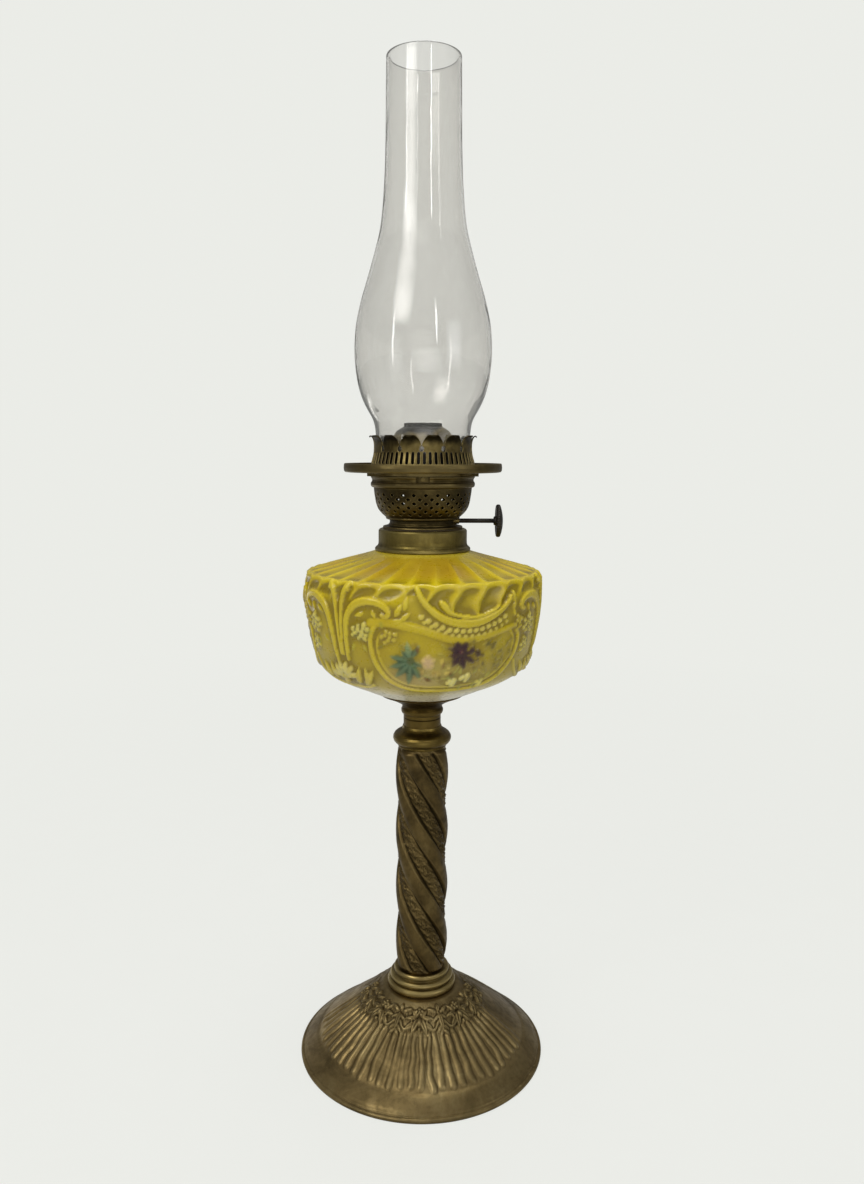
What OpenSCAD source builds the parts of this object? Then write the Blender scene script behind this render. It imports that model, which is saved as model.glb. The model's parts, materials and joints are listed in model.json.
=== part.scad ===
// Tall table oil lamp: round fluted brass foot, barley-twist brass column,
// glazed ceramic oil font, single flat-wick burner with a shade ring, and a
// bulged glass chimney. Millimetres, +Z up, origin at the centre of the foot
// on the table plane, winder knob towards +X, front towards -Y.

/* [Foot] */
// Radius of the rolled rim of the foot
foot_r = 87; // [85:0.5:90]
// Sheet thickness of the foot shell
foot_t = 1.5; // [1.3:0.1:1.7]
// Thickness of the iron ballast disc
ballast_t = 10; // [6:0.5:10]

/* [Column] */
// Number of twisted strands
strands = 4; // [3:1:6]
// Height in which one strand makes a full turn
strand_lead = 165; // [140:5:200]
// Mean radius of the twisted column
column_r = 17.0; // [16.5:0.1:17.2]
// Swell of each strand above and below the mean radius
strand_swell = 1.25; // [0.6:0.05:1.3]
// Radius of the steel tie rod
rod_r = 4; // [3:0.25:4]

/* [Font] */
// Wall thickness of the ceramic font
font_wall = 5; // [4:0.5:5.5]
// Radius of the threaded bore of the font's collar
collar_bore_r = 22; // [21.95:0.05:22]

/* [Burner] */
// Pierced holes in one row of the air basket
basket_holes = 26; // [20:2:28]
// Rows of pierced holes in the air basket
basket_rows = 5; // [3:1:5]
// Radius of one pierced hole
basket_hole_r = 1.25; // [0.8:0.05:1.3]
// Width of the flat wick
wick_w = 22; // [18:0.5:22]
// Thickness of the flat wick
wick_t = 3; // [2.6:0.1:3]
// Radius of the winder spindle
spindle_r = 1.5; // [1.2:0.1:1.5]
// Radius of the winder knob
knob_r = 10.9; // [8:0.1:11]

/* [Gallery] */
// Number of curled prongs round the gallery crown
prongs = 14; // [10:1:16]
// Outer radius of the shade ring
shade_r = 52.6; // [51:0.1:53]

/* [Chimney] */
// Wall thickness of the glass
glass_t = 1.7; // [1.2:0.1:2]
// Height of the top rim of the glass above the table
chimney_top = 674; // [660:1:680]

/* [Hidden] */
$fn = 96;

// colours
brass = "#6e5a2c";
brass_dark = "#4a3d20";
brass_lit = "#8a7437";
steel = "#5b5a55";
iron = "#3a3836";
baize = "#2f4a33";
glaze = "#b9a42c";
plaster = "#d8d2c0";
cork = "#8d6a42";
cotton = "#d9d2bd";
glass = [0.82, 0.84, 0.80, 0.35];
black_metal = "#2a2824";

// heights of the joints between the stacked pieces
z_foot_top = 48.6;
z_col0 = 62.5;
z_col1 = 225.4;
z_neck0 = 240.6;
z_cup0 = 249;
z_collar_top = 377;
z_gasket_top = 377.8;
z_spindle = 382.6;
z_band_top = 412.5;
z_floor0 = 413.4;
z_floor1 = 414.3;
y_spindle = -(wick_t / 2 + 0.1 + 4.0);
wheel_r = 4.0;
rod_hole = rod_r + 0.3;

// circular arc as points: centre (cr, cz), radius, from angle a to b in n steps
function arc(cr, cz, r, a, b, n) = [for (i = [0:n]) let (t = a + (b - a) * i / n) [cr + r * cos(t), cz + r * sin(t)]];

// smooth curve through control points (Catmull-Rom), k points to a span
function cr_pt(p0, p1, p2, p3, t) = 0.5 * ((2 * p1) + (p2 - p0) * t + (2 * p0 - 5 * p1 + 4 * p2 - p3) * t * t + (3 * p1 - p0 - 3 * p2 + p3) * t * t * t);
function smooth(p, k) = let (n = len(p)) concat([for (i = [0:n - 2]) for (j = [0:k - 1]) cr_pt(p[max(i - 1, 0)], p[i], p[i + 1], p[min(i + 2, n - 1)], j / k)], [p[n - 1]]);
function rev(p) = [for (i = [len(p) - 1:-1:0]) p[i]];
// the same curve moved towards the axis by d along its own normal
function inset(p, d) = [for (i = [0:len(p) - 1]) let (a = p[max(i - 1, 0)], b = p[min(i + 1, len(p) - 1)], v = b - a, m = norm(v)) p[i] + d * [-v[1], v[0]] / m];

module turned(p) { rotate_extrude() polygon(p); }
module ring(ro, ri, z0, z1) { translate([0, 0, z0]) difference() { cylinder(r = ro, h = z1 - z0); translate([0, 0, -1]) cylinder(r = ri, h = z1 - z0 + 2); } }
module slot_box(w, d, z0, z1) { translate([-w / 2, -d / 2, z0]) cube([w, d, z1 - z0]); }
module stadium(w, d, h) { hull() for (s = [-1, 1]) translate([s * (w - d) / 2, 0, 0]) cylinder(d = d, h = h, $fn = 32); }

// ---------- foot ----------
module base_shell() {
    k = foot_r - 87;
    color(brass) turned(concat(
        [[4.6, z_foot_top], [26.2, z_foot_top]],
        [[27.6, 48.2], [31, 45.7], [38, 40.6], [45.2, 35.0], [45.9, 34.2], [50, 31.1], [58, 25.1], [66, 18.8], [72.8, 12.9], [74.2, 12.0]],
        [[76.4, 10.8], [79, 8.8], [81.6, 6.7], [83.4, 5.2], [84.6, 4.2], [85.0, 3.6]],
        [[85.9 + k, 3.4], [86.7 + k, 2.7], [87 + k, 1.7], [86.8 + k, 0.7], [86.1 + k, 0]],
        [[84.6, 0], [83.7, 1.6], [82.6, 3.3], [78.1, 6.9 - (foot_t - 1.5)], [73, 10.6 - (foot_t - 1.5)]],
        [[65.3, 17.0 - (foot_t - 1.5)], [45.2, 32.8 - (foot_t - 1.5)], [27.4, 46.0 - (foot_t - 1.5)], [26, z_foot_top - foot_t], [4.6, z_foot_top - foot_t]]));
}
module base_weight() {
    // cast disc wedged inside the cone, counterbored for the nut
    z1 = 2 + ballast_t;
    color(iron) turned([[4.6, 9], [12.5, 9], [12.5, 2], [79.6, 2], [79.6, 4.4], [72.4, 9.6], [70.0, z1 - 0.4], [66, z1], [4.6, z1]]);
}
module base_felt() { color(baize) translate([0, 0, 0.5]) cylinder(r = 82.2, h = 1.5); }
module tie_rod() { color(steel) translate([0, 0, 2.3]) cylinder(r = rod_r, h = 237.9); }
module base_washer() { color(steel) ring(12, rod_hole, 7.6, 9); }
module hexnut(z0, h) { translate([0, 0, z0]) difference() { cylinder(r = 7.5, h = h, $fn = 6); translate([0, 0, -1]) cylinder(r = rod_r + 0.02, h = h + 2); } }
module base_nut() { color(steel) hexnut(2.4, 5.2); }
module rod_top_nut() { color(steel) hexnut(233.6, 5.4); }

// ---------- column ----------
module foot_ring() {
    color(brass_lit) turned([[rod_hole, z_foot_top], [23.0, z_foot_top], [23.8, 49.2], [24.3, 50.4], [24.3, 51.8], [23.8, 52.9], [23.0, 53.6],
        [22.2, 53.8], [21.7, 54.0], [21.7, 54.5], [22.2, 54.9], [22.5, 56.0], [22.2, 57.1], [21.4, 57.9], [20.4, 58.2], [19.6, 58.5], [19.4, 59.0], [19.6, 59.6],
        [19.7, 60.6], [19.5, 61.5], [19.0, 62.2], [18.6, z_col0], [12.9, z_col0], [12.9, 67], [rod_hole, 67]]);
}
// cross-section of the twisted strands
function strand_pts(n) = [for (i = [0:n - 1]) let (a = 360 * i / n, r = column_r + strand_swell * cos(strands * a)) r * [cos(a), sin(a)]];
module column() {
    h = z_col1 - z_col0;
    color(brass) difference() {
        translate([0, 0, z_col0]) rotate([0, 0, (82.5 - z_col0) * 360 / strand_lead])
            linear_extrude(height = h, twist = 360 * h / strand_lead, slices = 54, $fn = 40) polygon(strand_pts(40));
        translate([0, 0, z_col0 - 1]) cylinder(r = 13, h = h + 2);
    }
}
module capital_knop() {
    // turned knop with a lower lip; a nut pocket is open to the top
    color(brass_lit) difference() {
        turned([[rod_hole, 220], [12.9, 220], [12.9, z_col1], [15.6, z_col1], [16.5, 225.7], [17.0, 226.6], [16.9, 227.5], [17.6, 227.9], [18.7, 228.6], [19.7, 229.9],
            [20.2, 231.6], [20.0, 233.2], [19.2, 234.7], [18.0, 235.8], [16.4, 236.8], [14.9, 237.8], [13.9, 238.9], [13.3, z_neck0], [rod_hole, z_neck0]]);
        translate([0, 0, 233.6]) cylinder(r = 8.2, h = 20);
    }
}
module neck_socket() {
    color(brass) turned([[7.05, z_neck0], [12.9, z_neck0], [12.9, 245.8], [12.6, 246.0], [12.6, 246.6], [12.9, 246.8], [12.9, z_cup0], [7.05, z_cup0]]);
}

// ---------- font ----------
module font_cup() {
    // shallow dish with a peg that screws into the neck socket
    color(brass_dark) turned([[0, 241.2], [7, 241.2], [7, z_cup0], [13.2, z_cup0], [14.0, 249.6], [14.5, 250.8], [14.5, 252.2], [14.0, 253.3], [13.7, 254.2], [14.0, 255.2],
        [15.2, 256.4], [17.6, 257.9], [20.9, 259.6], [25, 261.5], [28.6, 262.9], [29.5, 263.6], [29.0, 264.1], [28.4, 264.0],
        [24.4, 262.7], [20.3, 260.8], [16.8, 259.0], [14.2, 257.2], [12.9, 255.8], [12.9, 255.0], [0, 255.0]]);
}
module cup_cement() {
    color(plaster) turned([[0, 255.02], [12.86, 255.02], [12.88, 255.85], [14.18, 257.25], [16.78, 259.06], [20.28, 260.86], [24.38, 262.76], [25.6, 263.16], [20, 262.84], [11.54, 262.36], [11.54, 257.46], [0, 257.46]]);
}
font_out = [[27.5, 263.9], [33, 265.6], [40.5, 268.9], [47, 271.9], [53.5, 274.7], [59.5, 277.7], [64.6, 280.9], [68.2, 284.2], [70.6, 288], [72.4, 293],
            [74.2, 299], [75.7, 305], [77, 312], [78.1, 320], [78.9, 328], [79.4, 336], [79.4, 342], [78.9, 345.6], [77.6, 348.0], [75, 349.6], [70, 351.1], [62, 353.3],
            [53, 355.8], [44, 358.3], [36, 360.7], [31.5, 362.3]];
module font() {
    o = smooth(font_out, 2);
    i = inset(o, font_wall);
    color(glaze) turned(concat([[0, 257.5], [11.5, 257.5], [11.5, 262.4], [20, 262.9]], o,
        [[28.4, 362.9], [27.2, 363.2], [27.2, 372.5], [24.2, 372.5], [24.2, 360.4], [30.4, 357.7]],
        rev([for (p = i) if (p[0] > 31 && p[1] > 268.8) p]), [[27.5, 269.2], [14, 268.4], [0, 268.2]]));
}
module collar_plaster() {
    color(plaster) turned([[23.2, 372.54], [27.24, 372.54], [27.24, 363.9], [28.48, 363.9], [28.48, 375.5], [23.2, 375.5]]);
}
module font_collar() {
    z = z_collar_top;
    color(brass) turned([[28.6, 363.0], [31.4, 362.5], [32.2, 363.0], [32.2, 363.9], [31.5, 364.8], [30.4, 365.7], [29.9, 367], [29.8, 369], [29.8, z - 1.4],
        [29.3, z - 0.5], [28.4, z], [collar_bore_r, z], [collar_bore_r, 366], [23.2, 366], [23.2, 375.6], [28.6, 375.6]]);
}

// ---------- burner ----------
module burner_gasket() { color(cork) ring(26.6, 22.15, z_collar_top, z_gasket_top); }
module burner_base() {
    // threaded spigot, seating flange and stepped neck, with a floor for the wick tube
    s = collar_bore_r - 0.07;
    color(brass_dark) difference() {
        union() {
            turned(concat([[20.6, 366.0]], [[s, 366.0]],
                [for (k = [0:4]) each [[s, 367.1 + 2 * k], [s - 0.5, 367.5 + 2 * k], [s - 0.5, 368.1 + 2 * k], [s, 368.5 + 2 * k]]],
                [[s, z_gasket_top], [26.6, z_gasket_top], [26.8, 378.1], [26.6, 378.7], [25.4, 379.0], [23.6, 379.2], [23.0, 379.5], [22.9, 380.2], [22.4, 380.6], [22.2, 381.2],
                 [22.2, 383.0], [22.6, 383.4], [23.6, 383.6], [23.9, 384.2], [21.0, 384.2], [21.0, 379.2], [20.6, 378.6]]));
            translate([0, 0, 366.0]) cylinder(r = 20.7, h = 1.2);
        }
        slot_box(wick_w + 2.1, wick_t + 2.3, 365, 368.5);
        translate([15, y_spindle, z_spindle]) rotate([0, 90, 0]) cylinder(r = 2.2, h = 12);
    }
}
basket_out = [[23.5, 384.2], [25.0, 385.3], [27.4, 387.4], [29.4, 389.7], [30.7, 392.2], [31.5, 395], [32.0, 398], [32.5, 401.2], [32.9, 404.4]];
module burner_basket() {
    o = smooth(basket_out, 2);
    color(brass_dark) difference() {
        turned(concat(o, rev(inset(o, 0.8))));
        for (k = [0:basket_rows - 1]) for (i = [0:basket_holes - 1])
            rotate([0, 0, (i + 0.5 * (k % 2)) * 360 / basket_holes + 4]) translate([26, 0, 391.0 + 2.7 * k]) rotate([0, 90, 0]) cylinder(r = basket_hole_r, h = 9, $fn = 16);
        translate([15, y_spindle, z_spindle]) rotate([0, 90, 0]) cylinder(r = 2.25, h = 12);
        translate([0, 0, 404.38]) cylinder(r = 40, h = 3);
    }
}
module burner_band() {
    // plain rolled band with four open locating notches
    color(brass) difference() {
        turned([[32.1, 404.4], [32.9, 404.4], [33.8, 404.7], [34.6, 405.3], [34.9, 406.4], [34.8, 407.6], [34.2, 408.4], [34.0, 409.4], [34.2, 410.4], [34.8, 411.2], [34.9, 412.0], [34.4, z_band_top], [32.1, z_band_top]]);
        for (a = [0:90:270]) rotate([0, 0, a - 90]) translate([30, -4.4, 408.6]) cube([6, 8.8, 6]);
    }
}
module wick_tube() {
    color(brass) difference() {
        slot_box(wick_w + 2, wick_t + 2.2, 364.5, 441.6);
        slot_box(wick_w + 0.4, wick_t + 0.6, 363, 443);
        for (x = [-7, 0, 7]) translate([x - 1.1, -4, z_spindle - 3.5]) cube([2.2, 2.5, 7]);
    }
}
module feed_bracket() {
    w = wick_w + 2;
    color(brass_dark) difference() {
        translate([-w / 2 - 1.2, -11.0, 377.9]) cube([w + 2.4, 11.0, 9.4]);
        translate([-w / 2, -10.2, 376]) cube([w, 12, 13]);
        translate([-20, y_spindle, z_spindle]) rotate([0, 90, 0]) cylinder(r = spindle_r + 0.06, h = 40);
    }
}
module spindle_bush() {
    color(brass_dark) translate([19.6, y_spindle, z_spindle]) rotate([0, 90, 0]) difference() {
        cylinder(r = 2.2, h = 4.6);
        translate([0, 0, -1]) cylinder(r = spindle_r + 0.06, h = 8);
    }
}
module winder_spindle() { color(black_metal) translate([-15.5, y_spindle, z_spindle]) rotate([0, 90, 0]) cylinder(r = spindle_r, h = 65.4); }
module feed_wheels() {
    // thorn wheels that bite the wick
    color(brass) for (x = [-7, 0, 7]) translate([x - 0.6, y_spindle, z_spindle]) rotate([0, 90, 0]) difference() {
        linear_extrude(1.2) polygon([for (i = [0:23]) let (r = (i % 2 == 0) ? wheel_r : wheel_r - 1.1) r * [cos(15 * i), sin(15 * i)]]);
        translate([0, 0, -1]) cylinder(r = spindle_r, h = 4);
    }
}
module winder_knob() {
    // milled disc with a raised boss on each face
    color(black_metal) translate([0, y_spindle, z_spindle]) rotate([0, 90, 0]) difference() {
        union() {
            translate([0, 0, 49.9]) linear_extrude(2.6) polygon([for (i = [0:95]) let (r = (i % 2 == 0) ? knob_r : knob_r - 0.45) r * [cos(3.75 * i), sin(3.75 * i)]]);
            translate([0, 0, 47.2]) cylinder(r1 = 2.6, r2 = 4.2, h = 2.7);
            translate([0, 0, 52.5]) cylinder(r1 = 4.2, r2 = 3.4, h = 1.1);
        }
        translate([0, 0, 47.2]) ring(knob_r - 1.8, 5.2, 2.2, 3.3);
        translate([0, 0, 40]) cylinder(r = spindle_r, h = 9.9);
    }
}
module wick() { color(cotton) slot_box(wick_w, wick_t, 284, 447.6); }

// ---------- gallery ----------
module gallery_floor() {
    color(brass_dark) difference() {
        union() {
            ring(37, 22.0, z_floor0, z_floor1);
            ring(31.9, 31.1, 407.0, z_floor0 + 0.2);
        }
        for (i = [0:23]) rotate([0, 0, 15 * i + 7.5]) translate([26, 0, 410]) cylinder(r = 1.4, h = 8);
        for (a = [45:90:315]) rotate([0, 0, a]) translate([35.9, 0, 410]) cylinder(r = 0.8, h = 8);
    }
}
module gallery_studs() {
    color(brass_dark) for (a = [0:90:270]) rotate([0, 0, a]) translate([31.9, 0, 410.6]) rotate([0, 90, 0]) cylinder(r = 1.3, h = 1.9);
}
coronet_out = [[34.0, z_floor1], [34.6, 415.6], [34.6, 420.6], [34.1, 422.4], [33.3, 424.6], [32.8, 427.4], [32.6, 430.2], [32.8, 432.6], [33.3, 434.8], [34.1, 436.8], [35.2, 438.7]];
module coronet() {
    o = smooth(coronet_out, 2);
    color(brass_dark) difference() {
        turned(concat(o, rev(inset(o, 0.8))));
        for (i = [0:prongs - 1]) rotate([0, 0, 360 * (i + 0.5) / prongs - 78.7]) {
            translate([28, 0, 438.4]) rotate([0, 90, 0]) cylinder(r = 4.1, h = 12);
            translate([28, 0, 427.2]) rotate([0, 90, 0]) cylinder(r = 1.9, h = 12);
            translate([28, 0, 418.4]) rotate([0, 90, 0]) cylinder(r = 1.5, h = 12);
        }
        for (i = [0:prongs - 1]) rotate([0, 0, 360 * i / prongs - 78.7]) {
            translate([28, 0, 434.2]) rotate([0, 90, 0]) cylinder(r = 1.5, h = 12);
            translate([28, 0, 422.6]) rotate([0, 90, 0]) cylinder(r = 2.2, h = 12);
        }
    }
}
module shade_ring() {
    // spider under the gallery floor carrying a lipped ring
    color(brass) difference() {
        union() {
            turned([[46.5, 414.6], [51.0, 414.6], [52.0, 414.8], [shade_r, 415.6], [shade_r + 0.2, 417.6], [shade_r, 419.8], [52.2, 420.4], [51.7, 420.2], [51.5, 419.4], [51.5, 415.7], [46.5, 415.6]]);
            ring(37, 32.4, 412.6, z_floor0);
            for (a = [45:90:315]) rotate([0, 0, a]) {
                translate([36.5, -2.6, 412.6]) cube([8, 5.2, 0.8]);
                translate([44.2, -2.6, 412.6]) cube([3.4, 5.2, 2.6]);
            }
        }
        for (a = [45:90:315]) rotate([0, 0, a]) translate([35.9, 0, 410]) cylinder(r = 0.8, h = 8);
    }
}
module ring_rivets() {
    color(brass_lit) for (a = [45:90:315]) rotate([0, 0, a]) translate([35.9, 0, 412.6]) {
        cylinder(r = 0.8, h = 1.8);
        translate([0, 0, 1.7]) cylinder(r1 = 1.1, r2 = 0.8, h = 0.6);
    }
}
dome_out = [[22.9, z_floor1], [22.6, 418], [22.3, 424], [21.8, 430], [20.9, 435], [19.4, 438.8], [17.0, 441.8], [13.6, 444.0], [9, 445.4], [4.5, 446.0], [0.01, 446.2]];
module flame_dome() {
    o = smooth(dome_out, 2);
    i = inset(o, 0.8);
    color(brass) difference() {
        union() {
            turned(concat(o, [[0, 446.2], [0, 445.4]], rev([for (p = i) if (p[0] > 0.3 && p[1] >= z_floor1) p]), [[22.1, z_floor1]]));
            translate([0, 0, 441.9]) stadium(wick_w + 3.4, wick_t + 4.4, 4.9);
        }
        translate([0, 0, 430]) stadium(wick_w + 2.2, wick_t + 3.0, 25);
    }
}

// ---------- chimney ----------
chimney_out = [[31.5, 414.35], [31.4, 420], [31.3, 428], [31.3, 436], [31.5, 441], [32.2, 446], [33.6, 450], [36.2, 454.6], [39.0, 460], [41.3, 466], [43.1, 473], [44.4, 482], [45.0, 491], [44.8, 500],
               [44.0, 509], [42.5, 517], [40.3, 526], [37.6, 535], [34.9, 544], [32.3, 553], [29.9, 562], [27.9, 571], [26.6, 581], [25.8, 591], [25.1, 602], [24.6, 615], [24.3, 630], [24.1, 650], [23.9, chimney_top - 6], [23.8, chimney_top]];
module chimney() {
    o = smooth(chimney_out, 2);
    color(glass) turned(concat(o, rev(inset(o, glass_t))));
}

base_shell();
base_weight();
base_felt();
tie_rod();
base_washer();
base_nut();
foot_ring();
column();
capital_knop();
rod_top_nut();
neck_socket();
font_cup();
cup_cement();
font();
collar_plaster();
font_collar();
burner_gasket();
burner_base();
burner_basket();
burner_band();
wick_tube();
feed_bracket();
spindle_bush();
winder_spindle();
feed_wheels();
winder_knob();
wick();
gallery_floor();
gallery_studs();
coronet();
shade_ring();
ring_rivets();
flame_dome();
chimney();
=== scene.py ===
import json
import math

import bpy
import numpy as np
from mathutils import Matrix, Vector


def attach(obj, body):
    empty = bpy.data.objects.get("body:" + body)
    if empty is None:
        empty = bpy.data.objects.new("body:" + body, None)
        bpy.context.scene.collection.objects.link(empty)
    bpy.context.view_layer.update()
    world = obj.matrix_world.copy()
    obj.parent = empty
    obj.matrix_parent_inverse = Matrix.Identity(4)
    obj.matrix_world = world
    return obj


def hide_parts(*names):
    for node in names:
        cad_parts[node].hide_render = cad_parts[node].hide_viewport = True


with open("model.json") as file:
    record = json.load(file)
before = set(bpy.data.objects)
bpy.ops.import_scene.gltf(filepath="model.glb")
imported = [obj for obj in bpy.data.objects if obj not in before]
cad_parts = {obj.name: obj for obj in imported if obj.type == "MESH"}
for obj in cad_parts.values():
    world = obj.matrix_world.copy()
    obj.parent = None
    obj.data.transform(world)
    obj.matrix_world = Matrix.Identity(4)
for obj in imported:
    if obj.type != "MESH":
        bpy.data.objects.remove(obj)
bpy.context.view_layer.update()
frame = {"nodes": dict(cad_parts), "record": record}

scene = bpy.context.scene
MM = 0.001
RNG = np.random.default_rng(7)

# ------------------------------------------------------------------ camera
cam_data = bpy.data.cameras.new("cam")
cam_data.sensor_fit = "AUTO"
cam_data.sensor_width = 36.0
cam_data.lens = 28.97
cam_data.shift_x = 0.0080
cam_data.clip_start = 0.01
cam_data.clip_end = 60.0
cam = bpy.data.objects.new("cam", cam_data)
scene.collection.objects.link(cam)
pitch = math.radians(8.46)
look = Matrix.Rotation(math.radians(90) - pitch, 4, "X") @ Matrix.Rotation(math.radians(0.17), 4, "Z")
cam.matrix_world = Matrix.Translation((0.0, -0.642, 0.429)) @ look
scene.camera = cam
scene.view_settings.view_transform = "Standard"
scene.view_settings.look = "None"
scene.view_settings.exposure = 0.0
scene.view_settings.gamma = 1.0


# ------------------------------------------------------------------ small helpers
def lin(c):
    """sRGB 0-255 to linear."""
    c = np.asarray(c, float) / 255.0
    return np.where(c <= 0.04045, c / 12.92, ((c + 0.055) / 1.055) ** 2.4)


def lin4(c):
    v = lin(c)
    return (float(v[0]), float(v[1]), float(v[2]), 1.0)


def sstep(a, b, x):
    t = np.clip((x - a) / (b - a), 0, 1)
    return t * t * (3 - 2 * t)


def catmull(pts, k=8):
    p = np.asarray(pts, float)
    n = len(p)
    out = []
    for i in range(n - 1):
        p0, p1, p2, p3 = p[max(i - 1, 0)], p[i], p[i + 1], p[min(i + 2, n - 1)]
        for j in range(k):
            t = j / k
            out.append(0.5 * (2 * p1 + (p2 - p0) * t + (2 * p0 - 5 * p1 + 4 * p2 - p3) * t * t + (3 * p1 - p0 - 3 * p2 + p3) * t ** 3))
    out.append(p[-1])
    return np.array(out)


def resample(p, step):
    p = np.asarray(p, float)
    s = np.concatenate([[0], np.cumsum(np.hypot(*np.diff(p, axis=0).T))])
    n = max(2, int(round(s[-1] / step)) + 1)
    q = np.linspace(0, s[-1], n)
    return np.stack([np.interp(q, s, p[:, 0]), np.interp(q, s, p[:, 1])], 1)


def make_mesh(name, verts, faces, smooth=True):
    """verts in millimetres, faces as an array of quads or a list of index lists."""
    me = bpy.data.meshes.new(name)
    verts = np.asarray(verts, np.float32) * MM
    if isinstance(faces, np.ndarray):
        k = faces.shape[1]
        me.vertices.add(len(verts))
        me.vertices.foreach_set("co", verts.ravel())
        me.loops.add(faces.size)
        me.loops.foreach_set("vertex_index", faces.astype(np.int32).ravel())
        me.polygons.add(len(faces))
        me.polygons.foreach_set("loop_start", np.arange(0, faces.size, k, dtype=np.int32))
        me.update(calc_edges=True)
    else:
        me.from_pydata([tuple(map(float, v)) for v in verts], [], [list(map(int, f)) for f in faces])
        me.update()
    me.validate()
    me.polygons.foreach_set("use_smooth", [smooth] * len(me.polygons))
    me.update()
    ob = bpy.data.objects.new(name, me)
    scene.collection.objects.link(ob)
    return ob


def normals2d(p, closed):
    if closed:
        t = np.roll(p, -1, 0) - np.roll(p, 1, 0)
    else:
        t = np.gradient(p, axis=0)
    t /= np.maximum(np.hypot(t[:, 0], t[:, 1]), 1e-9)[:, None]
    return np.stack([t[:, 1], -t[:, 0]], 1)


def lathe(name, prof, nseg, disp=None, rows=None, closed=True, start=-180.0, colours=None, radial=None):
    """Turns a profile (mm) round Z. Columns run over phi, measured from the front towards +X. disp is added along the profile's normal on the given rows."""
    p = np.asarray(prof, float)
    n = len(p)
    nrm = normals2d(p, closed)
    phi = np.radians(start + 360.0 * np.arange(nseg) / nseg)
    r = np.repeat(p[:, :1], nseg, 1)
    z = np.repeat(p[:, 1:], nseg, 1)
    if disp is not None:
        a, b = rows
        r[a:b] += nrm[a:b, :1] * disp
        z[a:b] += nrm[a:b, 1:] * disp
    if radial is not None:
        r = r + radial
    x = r * np.sin(phi)[None]
    y = -r * np.cos(phi)[None]
    v = np.stack([x, y, z], 2).reshape(-1, 3)
    ii = np.arange(n if closed else n - 1)
    jj = np.arange(nseg)
    i, j = np.meshgrid(ii, jj, indexing="ij")
    i2, j2 = (i + 1) % n, (j + 1) % nseg
    f = np.stack([i * nseg + j, i * nseg + j2, i2 * nseg + j2, i2 * nseg + j], 2).reshape(-1, 4)
    ob = make_mesh(name, v, f)
    if colours is not None:
        att = ob.data.color_attributes.new(name="tint", type="FLOAT_COLOR", domain="POINT")
        c = np.ones((n * nseg, 4), np.float32)
        c[:, :3] = colours.reshape(-1, 3)
        att.data.foreach_set("color", c.ravel())
    return ob


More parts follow.
